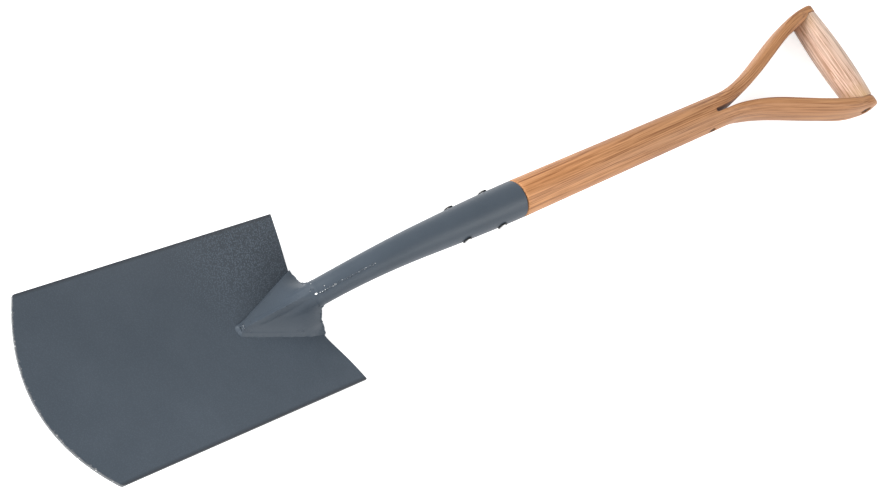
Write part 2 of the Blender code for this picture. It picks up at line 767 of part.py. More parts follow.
def make_shaft(material):
    """The tenon, the straight stem and two arms, joined where the stem is split."""
    work = bmesh.new()
    rows = []
    tenon_steps = 8
    shoulder = SOCKET_TOP + SEAT_GAP
    for step in range(tenon_steps + 1):
        distance = mix(TENON_END, SOCKET_TOP, step / tenon_steps)
        rows.append(stem_ring(distance, tenon_radius(distance)))
    rows.append(stem_ring(shoulder, tenon_radius(SOCKET_TOP)))
    rows.append(stem_ring(shoulder, STEM_RADIUS))
    stem_steps = 10
    for step in range(1, stem_steps):
        distance = mix(shoulder, FORK_AT, step / stem_steps)
        rows.append(stem_ring(distance, stem_radius(distance)))
    rows.append(stem_ring(FORK_AT, FORK_RADIUS))
    rows = [[work.verts.new(point) for point in row] for row in rows]
    skin_rings(work, rows, closed=True)
    work.faces.new(reversed(rows[0]))
    half = SHAFT_SIDES // 2
    fork = rows[-1]
    heights = [FORK_RADIUS * cos(pi * k / half) for k in range(1, half)]
    middle = [work.verts.new(along_shaft(FORK_AT, 0, height)) for height in heights]
    right_start = fork[: half + 1] + middle[::-1]
    left_start = [fork[0]] + fork[: half - 1 : -1] + middle[::-1]
    for side, first in ((1, right_start), (-1, left_start)):
        arm = [first]
        for distance, half_depth, inset in arm_stations():
            arm.append([work.verts.new(point) for point in arm_ring(distance, side, half_depth, inset)])
        skin_rings(work, arm, closed=True)
        work.faces.new(arm[-1])
    bmesh.ops.recalc_face_normals(work, faces=work.faces)
    mesh = bpy.data.meshes.new("shaft")
    work.to_mesh(mesh)
    work.free()
    return add_object("shaft", mesh, material)


# Grip


def make_grip(material):
    """A turned barrel with a short tenon at each end, bored through for its rod."""
    half_length = arm_middle(GRIP_AT) - ARM_END_HALF_THICKNESS + GRIP_LET_IN - SEAT_GAP
    bore = ROD_RADIUS + RIVET_CLEARANCE
    steps = 10
    barrel = [(GRIP_END_RADIUS - GRIP_END_ROUND, half_length)]
    for step in range(steps + 1):
        place = 1 - step / steps
        radius = GRIP_RADIUS - (GRIP_RADIUS - GRIP_END_RADIUS) * place**2
        barrel.append((radius, (half_length - GRIP_END_ROUND) * place))
    top = [
        (bore, half_length + GRIP_TENON_LENGTH),
        (GRIP_TENON_RADIUS, half_length + GRIP_TENON_LENGTH),
        (GRIP_TENON_RADIUS, half_length),
    ]
    upper = top + barrel
    lower = [(radius, -height) for radius, height in reversed(upper[:-1])]
    grip = add_object("grip", turned_mesh("grip", upper + lower, closed=True), material)
    grip.matrix_world = across_matrix(GRIP_AT)
    return grip


def make_grip_rod(shaft, material):
    """The rod through grip and arms. One cutter makes its hole, and the seats of its washers and the grip."""
    grip_end = arm_middle(GRIP_AT) - ARM_END_HALF_THICKNESS + GRIP_LET_IN
    outside = arm_middle(GRIP_AT) + ARM_END_HALF_THICKNESS
    hole = ROD_RADIUS + RIVET_CLEARANCE
    steps = [
        (GRIP_END_RADIUS + GRIP_SEAT_CLEARANCE, grip_end),
        (GRIP_TENON_RADIUS + SEAT_GAP, grip_end + GRIP_TENON_LENGTH),
        (hole, outside - ROD_SINK),
        (ROD_WASHER_RADIUS + RIVET_CLEARANCE, outside + CUT_PAST),
    ]
    cut(shaft, cross_cutter("grip_rod_hole", GRIP_AT, steps))
    pin = (ROD_RADIUS, ROD_HEAD_RADIUS, ROD_HEAD_HEIGHT)
    return make_sunk_pin("grip_rod", GRIP_AT, outside - ROD_SINK, pin, ROD_WASHER_RADIUS, material)


def make_fork_rivet(shaft, material):
    """The rivet below the fork that keeps the split from running on down the shaft."""
    distance = FORK_AT - FORK_RIVET_BELOW_FORK
    seat = stem_radius(distance) - FORK_RIVET_SINK
    steps = [
        (FORK_RIVET_RADIUS + RIVET_CLEARANCE, seat),
        (FORK_WASHER_RADIUS + RIVET_CLEARANCE, FORK_RADIUS + CUT_PAST),
    ]
    cut(shaft, cross_cutter("fork_rivet_hole", distance, steps))
    pin = (FORK_RIVET_RADIUS, FORK_RIVET_HEAD_RADIUS, FORK_RIVET_HEAD_HEIGHT)
    return make_sunk_pin("fork_rivet", distance, seat, pin, FORK_WASHER_RADIUS, material)


# Laying the spade down


def lowest_after(points, tilt):
    return (points[:, 1] * -sin(tilt) + points[:, 2] * cos(tilt)).min()


def world_points(obj):
    bpy.context.view_layer.update()
    evaluated = obj.evaluated_get(bpy.context.evaluated_depsgraph_get())
    mesh = evaluated.to_mesh()
    points = np.array([evaluated.matrix_world @ vertex.co for vertex in mesh.vertices])
    evaluated.to_mesh_clear()
    return points


def lay_down(pieces, blade, shaft):
    """Turns everything about X until heel and arms are level, then centres it over the origin."""
    blade_points = world_points(blade)
    shaft_points = world_points(shaft)
    low, high = 0.0, radians(45)
    for _ in range(50):
        tilt = (low + high) / 2
        if lowest_after(shaft_points, tilt) > lowest_after(blade_points, tilt):
            low = tilt
        else:
            high = tilt
    rest = bpy.data.objects.new("lying_on_its_back", None)
    SPADE.objects.link(rest)
    rest.rotation_euler.x = -tilt
    for obj in pieces + list(CUTTERS.objects):
        obj.parent = rest
    every_point = np.concatenate([world_points(piece) for piece in pieces])
    low_corner, high_corner = every_point.min(axis=0), every_point.max(axis=0)
    middle = (low_corner + high_corner) / 2
    rest.location = (0, -middle[1], -low_corner[2])
    bpy.context.view_layer.update()


def build():
    paint = new_material("slate_powder_coat", STEEL_PAINT, 0.45, 0.0)
    weld_paint = new_material("slate_powder_coat_on_weld", STEEL_PAINT, 0.4, 0.0)
    steel = new_material("bare_steel", BARE_STEEL, 0.3, 1.0)
    ash = new_material("oiled_ash", ASH, 0.5, 0.0)
    pale_ash = new_material("pale_ash", PALE_ASH, 0.45, 0.0)
    blade = make_blade(paint)
    socket = make_socket(paint)
    shaft = make_shaft(ash)
    grip = make_grip(pale_ash)
    pieces = [blade, make_lug(paint), socket, shaft, grip]
    pieces += [make_lug_weld(weld_paint), make_neck_weld(weld_paint), make_seam_weld(weld_paint)]
    pieces += [make_shoulder_weld(-1, "shoulder_weld_left", weld_paint)]
    pieces += [make_shoulder_weld(1, "shoulder_weld_right", weld_paint)]
    pieces += [make_socket_rivet("lower_socket_rivet", LOWER_RIVET_AT, socket, shaft, steel)]
    pieces += [make_socket_rivet("upper_socket_rivet", UPPER_RIVET_AT, socket, shaft, steel)]
    pieces += make_grip_rod(shaft, steel)
    pieces += make_fork_rivet(shaft, steel)
    lay_down(pieces, blade, shaft)


build()
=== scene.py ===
# %% [markdown]
# # A digging spade, dressed around its CAD frame
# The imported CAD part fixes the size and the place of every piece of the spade: a dished steel blade, a
# pressed lug, a rolled socket, an ash shaft split into two arms, and a turned grip. This script gives each of
# them the finer shape and the finish that the real one shows. It loads the frame first, because everything
# later is placed from it.

from math import acos, asin, atan, atan2, cos, pi, radians, sin, sqrt

import bmesh
import bpy
from mathutils import Matrix, Vector, noise


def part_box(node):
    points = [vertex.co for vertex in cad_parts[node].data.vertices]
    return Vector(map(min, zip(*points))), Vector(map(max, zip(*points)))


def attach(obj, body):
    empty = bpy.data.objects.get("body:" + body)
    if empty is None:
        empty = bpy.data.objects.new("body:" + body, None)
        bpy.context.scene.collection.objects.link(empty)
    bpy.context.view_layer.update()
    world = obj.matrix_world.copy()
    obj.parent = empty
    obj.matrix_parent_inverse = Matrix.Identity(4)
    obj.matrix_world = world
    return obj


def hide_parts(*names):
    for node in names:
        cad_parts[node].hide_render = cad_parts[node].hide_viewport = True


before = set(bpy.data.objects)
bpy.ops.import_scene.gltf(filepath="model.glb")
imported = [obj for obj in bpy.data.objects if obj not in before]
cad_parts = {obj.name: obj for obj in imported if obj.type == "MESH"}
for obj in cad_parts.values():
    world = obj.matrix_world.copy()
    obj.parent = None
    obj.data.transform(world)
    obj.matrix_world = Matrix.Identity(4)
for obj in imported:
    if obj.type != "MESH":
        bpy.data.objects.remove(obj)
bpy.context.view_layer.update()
MM = 0.001

# %% [markdown]
# ## Places on the spade
# A spade is easiest to describe in its blade's own frame: X across the blade, Y from the cutting edge up to
# the grip and Z out of the dished front. The straight part of the shaft rises out of that frame at a small
# angle, so places on it are given as a distance from the blade's shoulder, measured along the shaft. A few
# small blending functions are used all through the file.

# %% Blending and places along the shaft
BLADE_LENGTH = 290 * MM
SHAFT_HEIGHT = 55.2 * MM  # the shaft's axis above the middle of the shoulder
SHAFT_RISE = radians(11.7)
GRIP_AT = 717.5 * MM
UPPER_RIVET_AT = 199 * MM
LOWER_RIVET_AT = 154 * MM
SIDES = ((-1, "left"), (1, "right"))


def mix(start, end, t):
    return start + (end - start) * t


def ease(t):
    """A smooth step from 0 to 1."""
    t = min(max(t, 0), 1)
    return t * t * (3 - 2 * t)


def evenly(start, end, steps):
    """Values from start to end, with both, in equal steps."""
    return [mix(start, end, step / steps) for step in range(steps + 1)]


def along_shaft(distance, across=0.0, height=0.0):
    y = BLADE_LENGTH + distance * cos(SHAFT_RISE) - height * sin(SHAFT_RISE)
    z = SHAFT_HEIGHT + distance * sin(SHAFT_RISE) + height * cos(SHAFT_RISE)
    return Vector((across, y, z))


print("the grip's middle is", round(along_shaft(GRIP_AT).y / MM, 1), "mm up from the cutting edge")

# %% [markdown]
# ## Laying the spade down
# The CAD part lies on its back, on the heel of the blade and the ends of the two arms. Pieces are modelled in
# the blade's frame and then turned into that pose with one matrix. The matrix is measured on the frame and
# not typed in: the grip and a socket rivet are both round and centred on the shaft's axis, so their middles
# give the axis's slope.

# %% Measure how the spade lies
def middle_of(node):
    low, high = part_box(node)
    return (low + high) / 2


shaft_axis = middle_of("grip") - middle_of("upper_socket_rivet")
TILT = SHAFT_RISE - atan2(shaft_axis.z, shaft_axis.y)
turn_back = Matrix.Rotation(-TILT, 4, "X")
LAID = Matrix.Translation(middle_of("grip") - turn_back @ along_shaft(GRIP_AT)) @ turn_back
print("the blade leans back by", round(TILT * 180 / pi, 2), "degrees")

# %% [markdown]
# ## From a shape to a piece
# Every piece ends the same way: its mesh is turned into the lying pose, smoothed where its faces meet gently,
# given its material and hung on the root body, and the CAD nodes that it stands for are hidden. A helper
# keeps that in one place, so that the cells below only hold shapes. Solidify gives pressed sheet its
# thickness, and Bevel rounds the sharp rims that painted steel and sanded wood never have.

# %% A helper that finishes a piece
RIM_SEGMENTS = 3
RIM_ANGLE = radians(50)  # an edge this sharp is a rim


def mesh_of(name, work):
    mesh = bpy.data.meshes.new(name)
    work.to_mesh(mesh)
    work.free()
    return mesh


def show(name, data):
    """Puts a mesh, a lamp or a camera into the scene."""
    made = bpy.data.objects.new(name, data)
    bpy.context.scene.collection.objects.link(made)
    return made


def finish_piece(name, work, finish, nodes, sheet=0.0, rim=0.0, smooth_angle=radians(38)):
    """finish is a material and its slot (the slot is not used), sheet a wall's thickness and rim the width of
    its rounded edges.
    """
    bmesh.ops.transform(work, matrix=LAID, verts=work.verts)
    mesh = mesh_of(name, work)
    material, slot = finish
    mesh.materials.append(material)
    mesh.shade_smooth()
    mesh.set_sharp_from_angle(angle=smooth_angle)
    piece = show(name, mesh)
    if sheet:
        solidify = piece.modifiers.new("sheet", "SOLIDIFY")
        solidify.thickness = sheet
        solidify.offset = -1
    if rim:
        bevel = piece.modifiers.new("rim", "BEVEL")
        bevel.width = rim
        bevel.segments = RIM_SEGMENTS
        bevel.limit_method = "ANGLE"
        bevel.angle_limit = RIM_ANGLE
        bevel.harden_normals = True
    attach(piece, "root")
    if nodes:
        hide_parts(*nodes)
    print(name, "has", len(mesh.polygons), "faces before its modifiers")


# %% [markdown]
# ## Node helpers for the finishes
# The finishes are node trees. In these helpers a node's output is a pair of the node and the output's name or
# number. Whatever an input takes, a number, a colour or such a pair, goes through feed(), so a whole step of
# a finish fits on one line and each tree reads from top to bottom.

# %% Feed and add nodes
def feed(tree, socket, value):
    if isinstance(value, tuple) and isinstance(value[0], bpy.types.Node):
        tree.links.new(value[0].outputs[value[1]], socket)
    elif socket.type == "RGBA":
        socket.default_value = (*value, 1)
    else:
        socket.default_value = value


def dress(tree, node, **inputs):
    """Feeds inputs by name, with _ for a space."""
    for name, value in inputs.items():
        feed(tree, node.inputs[name.replace("_", " ")], value)


def add(tree, kind, output, settings=None, **inputs):
    node = tree.nodes.new("ShaderNode" + kind)
    for name, value in (settings or {}).items():
        setattr(node, name, value)
    dress(tree, node, **inputs)
    return node, output


def new_material(name, colour, roughness, metallic=0.0):
    material = bpy.data.materials.new(name)
    material.use_nodes = True
    material.diffuse_color = (*colour, 1)
    tree = material.node_tree
    shader = tree.nodes["Principled BSDF"]
    dress(tree, shader, Base_Color=colour, Roughness=roughness, Metallic=metallic)
    return material, tree, shader


# %% Sums, ranges, ramps and mixes
FACTOR_AND_COLOURS = (0, 6, 7)  # inputs of a Mix node on colours
MIXED_COLOUR = 2  # its output


def value_of(tree, operation, *terms, kind="Math"):
    node, result = add(tree, kind, 0, {"operation": operation})
    for socket, term in zip(node.inputs, terms):
        feed(tree, socket, term)
    return node, result


def times(tree, first, *others):
    for other in others:
        first = value_of(tree, "MULTIPLY", first, other)
    return first


def span(tree, value, low, high, to_low, to_high):
    """Carries a value from one range to another, and stops at its ends."""
    ends = {"From_Min": low, "From_Max": high, "To_Min": to_low, "To_Max": to_high}
    return add(tree, "MapRange", "Result", Value=value, **ends)


def ramp(tree, value, stops):
    """Each stop is a place and a grey or a colour."""
    node, colour = add(tree, "ValToRGB", "Color", Fac=value)
    elements = node.color_ramp.elements
    while len(elements) < len(stops):
        elements.new(0.5)
    for element, (place, tone) in zip(elements, stops):
        element.position = place
        element.color = (*tone, 1) if isinstance(tone, tuple) else (tone, tone, tone, 1)
    return node, colour


def blend(tree, mode, factor, first, second):
    node, _ = add(tree, "Mix", 0, {"data_type": "RGBA", "blend_type": mode})
    for place, value in zip(FACTOR_AND_COLOURS, (factor, first, second)):
        feed(tree, node.inputs[place], value)
    return node, MIXED_COLOUR


def attribute(tree, name, output="Fac"):
    """A value that the mesh carries on its points."""
    return add(tree, "Attribute", output, {"attribute_name": name})


def noise_of(tree, place, scale, detail, roughness):
    return add(tree, "TexNoise", "Fac", Vector=place, Scale=scale, Detail=detail, Roughness=roughness)


def cells_of(tree, place, scale):
    return add(tree, "TexVoronoi", "Distance", Vector=place, Scale=scale)


# %% [markdown]
# ## Slate powder coat
# The steel is powder coated in a slate blue grey. Powder melts into a skin with a fine orange peel, satin
# rather than glossy, and a little uneven in tone. The peel is a bump from cells a millimetre or two across
# and a finer ripple. On the blade the same cells are also painted faintly into its colour, as painted light
# and shade of the peel. Three attributes on the blade place what isn't even: how strong the peel and its
# painted light and shade are, how near the cutting edge a point is, where the coat is thinned and paler with
# bright dots, and how near a sheared side it is, where a thin dark line of painted shade runs. On the welds'
# coat, bright dots are painted glints.

# %% The powder coat
SLATE = (0.055, 0.0715, 0.0915)
SLATE_LIGHT = (0.065, 0.083, 0.105)
# the colour of the painted shade along the blade's sheared sides
SLATE_SIDE_SHADE = (0.022, 0.026, 0.032)
RUBBED = (0.155, 0.163, 0.172)
# bright dots of thinned coat at the cutting edge, and painted glints on the welds
SPECK_AND_GLINT = (0.60, 0.61, 0.62)


def wear_and_painted_shade(tree, place, cells, colour, peel):
    """The blade's own coat, from a plain one: a thinned, paler coat with bright dots at the cutting edge,
    painted light and shade in the peel's cells, and painted shade along the sheared sides. It returns the
    colour and the strength of the peel.
    """
    strong = attribute(tree, "peel")
    # painted light and shade: the peel's cells made lighter and darker in the colour, as grazing light would
    # show them
    peel_light_and_shade = ramp(tree, cells, [(0.15, 1.90), (0.55, 0.72)])
    colour = blend(tree, "MULTIPLY", strong, colour, peel_light_and_shade)
    # painted shade: a thin dark line along the sheared sides, where the side faces fall into shade
    painted_side_shade = ramp(tree, attribute(tree, "from_side"), [(0.7 * MM, 0.85), (1.2 * MM, 0.0)])
    colour = blend(tree, "MIX", painted_side_shade, colour, SLATE_SIDE_SHADE)
    edge = attribute(tree, "from_edge")
    scatter = noise_of(tree, place, 260, 4, 0.75)
    reach = span(tree, scatter, 0.35, 0.7, 0.1 * MM, 2.8 * MM)
    thin = ramp(tree, value_of(tree, "DIVIDE", edge, reach), [(0.35, 1.0), (1.0, 0.0)])
    colour = blend(tree, "MIX", thin, colour, RUBBED)
    dots = ramp(tree, cells_of(tree, place, 430), [(0.26, 1.0), (0.36, 0.0)])
    few = ramp(tree, scatter, [(0.50, 0.0), (0.60, 1.0)])
    near = span(tree, edge, 0, 3 * MM, 1, 0)
    colour = blend(tree, "MIX", times(tree, dots, few, near), colour, SPECK_AND_GLINT)
    return colour, value_of(tree, "MULTIPLY_ADD", strong, 2.4 * peel, 0.5 * peel)


def make_powder_coat(name, peel, roughness, with_wear_and_painted_shade=False, painted_glints=0.0, shade=1.0):
    material, tree, shader = new_material(name, SLATE, roughness)
    place = add(tree, "TexCoord", "Object")
    cells = cells_of(tree, place, 640)
    cloud = noise_of(tree, place, 14, 4, 0.6)
    slates = [tuple(shade * part for part in colour) for colour in (SLATE, SLATE_LIGHT)]
    colour, strength = ramp(tree, cloud, list(zip((0.32, 0.68), slates))), peel
    if with_wear_and_painted_shade:
        colour, strength = wear_and_painted_shade(tree, place, cells, colour, peel)
    # painted glints: bright dots on the weld coat stand in for highlights on the lumpy welds
    if painted_glints:
        dots = ramp(tree, cells_of(tree, place, 520), [(painted_glints * 0.7, 1.0), (painted_glints, 0.0)])
        colour = blend(tree, "MIX", dots, colour, SPECK_AND_GLINT)
    height = value_of(tree, "ADD", cells, noise_of(tree, place, 900, 2, 0.55))
    bump = add(tree, "Bump", "Normal", Strength=strength, Distance=0.4 * MM, Height=height)
    gloss = span(tree, cloud, 0, 1, roughness - 0.05, roughness + 0.07)
    dress(tree, shader, Base_Color=colour, Roughness=gloss, Normal=bump, Specular_IOR_Level=0.30)
    print(name, "has", len(tree.nodes), "nodes")
    return material, "slate_powder_coat"


COAT = make_powder_coat("slate_powder_coat", peel=0.20, roughness=0.42)
# The blade's copy of the coat is painted 7% darker than the rest of the steel: painted shade.
BLADE_COAT = make_powder_coat("slate_powder_coat_blade", peel=0.30, roughness=0.45, with_wear_and_painted_shade=True, shade=0.93)
WELD_COAT = make_powder_coat("slate_powder_coat_weld", peel=0.16, roughness=0.26, painted_glints=0.26)

# %% [markdown]
# ## Oiled ash
# Ash has strong growth rings with a band of open pores in each, so a lengthwise cut shows long parallel lines
# with short dark dashes in them. The pattern is worked out in the wood's own coordinates: across, along and
# depth, kept on the mesh as an attribute. In the two arms those coordinates bend with the wood, as the grain
# of a steamed arm does. Rings are circles about a tree's middle that lies outside the shaft; noise stretched
# along the grain makes them wander. The shaft is a little darker towards the fork, and the grip has a
# yellower patch at each end.

# %% Rings in the wood
def stretched_noise(tree, wood, along, scale, detail=3, roughness=0.55):
    """Noise in the wood's own coordinates, drawn out along the grain."""
    place = add(tree, "Mapping", "Vector", Vector=wood, Scale=(1, along, 1))
    return noise_of(tree, place, scale, detail, roughness)


def growth_rings(tree, wood, ring_scale, middle, sway):
    wander, _ = stretched_noise(tree, wood, 0.045, 30)
    centred = value_of(tree, "SUBTRACT", (wander, "Color"), (0.5, 0.5, 0.5), kind="VectorMath")
    placed = add(tree, "Mapping", "Vector", Vector=wood, Location=middle, Scale=(1, 0.02, 1))
    swayed = value_of(tree, "MULTIPLY_ADD", centred, (sway,) * 3, placed, kind="VectorMath")
    settings = {"wave_type": "RINGS", "rings_direction": "Y", "wave_profile": "SAW"}
    uneven = {"Distortion": 2.2, "Detail": 3, "Detail_Scale": 2.0}
    return add(tree, "TexWave", "Fac", settings, Vector=swayed, Scale=ring_scale, **uneven)


# %% The colour of ash
LINE_STRENGTH = 0.85
PORE_STRENGTH = 0.90
PORES_OFF_LINES = 0.55  # how much of a dash shows where it lies on no line
PORE_TONE = 0.80  # of the dark colour
FLECK_STRENGTH = 0.60
FLECK_TONE = 1.22  # of the light colour


def ash_colour(tree, light, dark, warm, warmth, lines, dashes, pores, pale):
    """Warm streaks on the light wood, then the rings' lines, the open pores and pale flecks."""
    colour = blend(tree, "MIX", warmth, light, warm)
    colour = blend(tree, "MIX", times(tree, lines, LINE_STRENGTH), colour, dark)
    seen = times(tree, value_of(tree, "ADD", pores, PORES_OFF_LINES), dashes, PORE_STRENGTH)
    colour = blend(tree, "MIX", seen, colour, tuple(PORE_TONE * part for part in dark))
    flecks = tuple(min(1, FLECK_TONE * part) for part in light)
    return blend(tree, "MIX", times(tree, pale, FLECK_STRENGTH), colour, flecks)


# %% The wood
FADES_FROM, FADES_TO = 0.25, 0.44  # along the shaft, from the shoulder
GRIP_PATCH = (0.036, 0.058)  # where a patch starts and where it is full, from the grip's middle


def make_ash(name, light, dark, warm, ring_scale, middle, sway, roughness, ends=None, fading=None):
    material, tree, shader = new_material(name, light, roughness)
    wood = attribute(tree, "grain", "Vector")
    rings = growth_rings(tree, wood, ring_scale, middle, sway)
    lines = ramp(tree, rings, [(0.0, 1.0), (0.20, 0.85), (0.46, 0.10), (1.0, 0.0)])
    uneven = ramp(tree, stretched_noise(tree, wood, 0.10, 70), [(0.34, 0.12), (0.66, 1.0)])
    lines = times(tree, lines, uneven)
    fibre = stretched_noise(tree, wood, 0.020, 520, detail=4, roughness=0.7)
    dashes = ramp(tree, fibre, [(0.40, 1.0), (0.50, 0.0)])
    pale = ramp(tree, fibre, [(0.53, 0.0), (0.64, 1.0)])
    warmth = ramp(tree, stretched_noise(tree, wood, 0.12, 46), [(0.36, 0.0), (0.66, 1.0)])
    pores = times(tree, dashes, lines)
    colour = ash_colour(tree, light, dark, warm, warmth, lines, dashes, pores, pale)
    along = add(tree, "SeparateXYZ", "Y", Vector=wood)
    if ends:
        near = span(tree, value_of(tree, "ABSOLUTE", along), *GRIP_PATCH, 0, 0.55)
        colour = blend(tree, "MIX", times(tree, near, warmth), colour, ends)
    if fading:
        tone = span(tree, along, FADES_FROM, FADES_TO, *fading)
        colour = blend(tree, "MULTIPLY", 1.0, colour, tone)
    bump = add(tree, "Bump", "Normal", {"invert": True}, Strength=0.3, Distance=0.15 * MM, Height=pores)
    gloss = span(tree, fibre, 0, 1, roughness - 0.06, roughness + 0.10)
    dress(tree, shader, Base_Color=colour, Roughness=gloss, Normal=bump, Specular_IOR_Level=0.35)
    dress(tree, shader, Sheen_Weight=0.14, Sheen_Roughness=0.30, Sheen_Tint=(0.80, 0.84, 1.0))
    print(name, "has", len(tree.nodes), "nodes")
    return material, name


# %% The shaft's ash and the grip's
ASH = make_ash(
    "oiled_ash",
    light=(0.600, 0.305, 0.142),
    dark=(0.300, 0.112, 0.037),
    warm=(0.520, 0.240, 0.098),
    ring_scale=185,
    middle=(-0.058, 0, 0.042),
    sway=0.020,
    roughness=0.50,
    fading=(1.13, 0.855),
)
PALE_ASH = make_ash(
    "pale_ash",
    light=(0.810, 0.615, 0.495),
    dark=(0.400, 0.215, 0.125),
    warm=(0.690, 0.450, 0.335),
    ring_scale=140,
    middle=(-0.034, 0, 0.052),
    sway=0.034,
    roughness=0.40,
    ends=(0.560, 0.370, 0.160),
)

# %% [markdown]
# ## Bare steel
# The rivets, the rod and their washers are bare steel. They are bright on top, with a dark ring of painted
# shade and painted dark reflection round the rim of the head. An attribute that says how far out on the head
# a point lies gives that dark ring. The pins that are sunk in the wood are duller and darker. The heads on
# the socket's left side are painted bright almost to their rims: painted light on that side.

# %% The steel
def make_steel(name, bright, roughness, stops):
    material, tree, shader = new_material(name, (bright,) * 3, roughness, metallic=1.0)
    scratch = noise_of(tree, add(tree, "TexCoord", "Object"), 900, 4, 0.6)
    # the ramp's dark band is painted shade and painted dark reflection round the rim of a head
    ring = ramp(tree, attribute(tree, "head_rim"), stops)
    dull = ramp(tree, scratch, [(0.3, 0.75), (0.7, 1.0)])
    gloss = span(tree, scratch, 0, 1, roughness - 0.08, roughness + 0.12)
    bump = add(tree, "Bump", "Normal", Strength=0.15, Distance=0.1 * MM, Height=scratch)
    dress(tree, shader, Base_Color=times(tree, ring, dull), Roughness=gloss, Normal=bump)
    return material, "bare_steel"


STEEL = make_steel("bare_steel", 0.70, 0.28, [(0.64, 0.75), (0.76, 0.035), (1.0, 0.035)])
DULL_STEEL = make_steel("dull_steel", 0.05, 0.55, [(0.0, 0.06), (1.0, 0.035)])
DROP_STEEL = make_steel("bright_steel", 0.90, 0.30, [(0.0, 0.95), (1.0, 0.95)])
print("three steels are ready")

# %% [markdown]
# ## The blade
# The blade is one sheet, pressed into a shallow trough that deepens towards the shoulder, with a bowed
# cutting edge. A flat grid is the natural start: each of its points is moved to its place on the trough, and
# Solidify then gives the sheet its thickness. The columns are crowded towards both sides, so that the two
# corners of the cutting edge can be rounded as sheared and painted corners are. A hand-made blade isn't quite
# even: one corner is a little longer than the other, and the shoulders' edges bow up beside the lug. The
# attributes for the coat are written in the same pass: the orange peel, and the painted light and shade that
# go with it, are strongest at one corner of the shoulder.

# %% The blade's outline and dish
SHOULDER_WIDTH = 189 * MM
TIP_WIDTH = 195.5 * MM
SHOULDER_DISH = 22.6 * MM  # how far the corners stand above the middle
TIP_DISH = 14 * MM
EDGE_BOW = 26 * MM
CORNER_ROUND = 1.8 * MM
LEFT_CORNER_LONGER = 1.1 * MM
RIGHT_CORNER_SHORTER = 2.0 * MM
LEFT_SHOULDER_BOW = (3.0 * MM, 0.42, 0.75)  # its height, its start across the blade and its length
RIGHT_SHOULDER_BOW = (2.2 * MM, 0.48, 0.52)
RIGHT_DIP_FULL = 0.35  # the right shoulder dips first, beside the lug
RIGHT_DIP_TO = 0.40


def half_width_at(y):
    return mix(TIP_WIDTH, SHOULDER_WIDTH, y / BLADE_LENGTH) / 2


def dish_height(x, y):
    depth = mix(TIP_DISH, SHOULDER_DISH, y / BLADE_LENGTH)
    return depth * (x / half_width_at(y)) ** 2


def cutting_edge(side):
    """Where the cutting edge runs, for a place across the blade from -1 to 1."""
    inwards = (1 - abs(side)) * TIP_WIDTH / 2
    short = max(0, CORNER_ROUND - inwards)
    corner = CORNER_ROUND - sqrt(CORNER_ROUND**2 - short**2)
    uneven = RIGHT_CORNER_SHORTER * side**2 if side > 0 else -LEFT_CORNER_LONGER * side**4
    return corner + uneven - EDGE_BOW * (1 - side * side)


def shoulder_bow(side):
    """How far the shoulder's edge lies up from straight, beside the lug and out to the corners."""
    height, start, length = LEFT_SHOULDER_BOW if side < 0 else RIGHT_SHOULDER_BOW
    if side < 0:
        return height * sin(pi * max(0, -side - start) / length)
    return height * sin(pi * (max(side, RIGHT_DIP_TO) - start) / length) * ease(side / RIGHT_DIP_FULL)


sizes = [round(size / MM, 1) for size in (EDGE_BOW, SHOULDER_DISH)]
print("the cutting edge's bow and the dish's depth are", sizes, "mm")

# %% The blade's front face
SHEET = 2.2 * MM
SHEET_RIM = 0.45 * MM
PEEL_CORNER = Vector((-78 * MM, 262 * MM))
PEEL_REACH = 120 * MM
PLAIN_PEEL = 0.12
CROWDED = 0.93  # how much the columns crowd towards the sides
ROWS_CROWDED = 1.3  # and the rows towards the cutting edge


def make_blade():
    work = bmesh.new()
    from_edge = work.verts.layers.float.new("from_edge")
    from_side = work.verts.layers.float.new("from_side")
    peel = work.verts.layers.float.new("peel")
    bmesh.ops.create_grid(work, x_segments=110, y_segments=66, size=1)
    for vertex in work.verts:
        side = mix(vertex.co.x, sin(vertex.co.x * pi / 2), CROWDED)
        row = ((vertex.co.y + 1) / 2) ** ROWS_CROWDED
        edge = cutting_edge(side)
        y = mix(edge, BLADE_LENGTH + shoulder_bow(side), row)
        x = side * half_width_at(y)
        vertex.co = (x, y, dish_height(x, y))
        vertex[from_edge] = y - edge
        vertex[from_side] = (1 - abs(side)) * half_width_at(y)
        near = ease(1 - (Vector((x, y)) - PEEL_CORNER).length / PEEL_REACH)
        vertex[peel] = mix(PLAIN_PEEL, 1, near)
    finish_piece("blade_sheet", work, BLADE_COAT, ["blade"], SHEET, SHEET_RIM)


make_blade()

# %% [markdown]
# ## Sweeping a ring
# The socket, the weld beads and the shaft are all one ring of points carried along a path. Extruding the
# ring's edges once for each station is how one would do it by hand. Each vertex remembers its angle round the
# ring in a layer that the extrusion copies, and that is all that is needed to put every new vertex in its
# place.

# %% A helper that sweeps a ring
def sweep(count, stations, place, close=True):
    """place(station, angle) gives a point of the ring. The angle is 0 at the front, and turns to +X."""
    work = bmesh.new()
    around = work.verts.layers.float.new("around")
    bmesh.ops.create_circle(work, cap_ends=False, segments=count, radius=1)
    for vertex in work.verts:
        vertex[around] = atan2(vertex.co.x, vertex.co.y) % (2 * pi)
        vertex.co = place(stations[0], vertex[around])
    edges = work.edges[:]
    for station in stations[1:]:
        made = bmesh.ops.extrude_edge_only(work, edges=edges)["geom"]
        edges = [item for item in made if isinstance(item, bmesh.types.BMEdge)]
        for vertex in (item for item in made if isinstance(item, bmesh.types.BMVert)):
            vertex.co = place(station, vertex[around])
    if close:
        rims = [edge for edge in work.edges if edge.is_boundary]
        bmesh.ops.holes_fill(work, edges=rims, sides=0)
    bmesh.ops.recalc_face_normals(work, faces=work.faces)
    return work


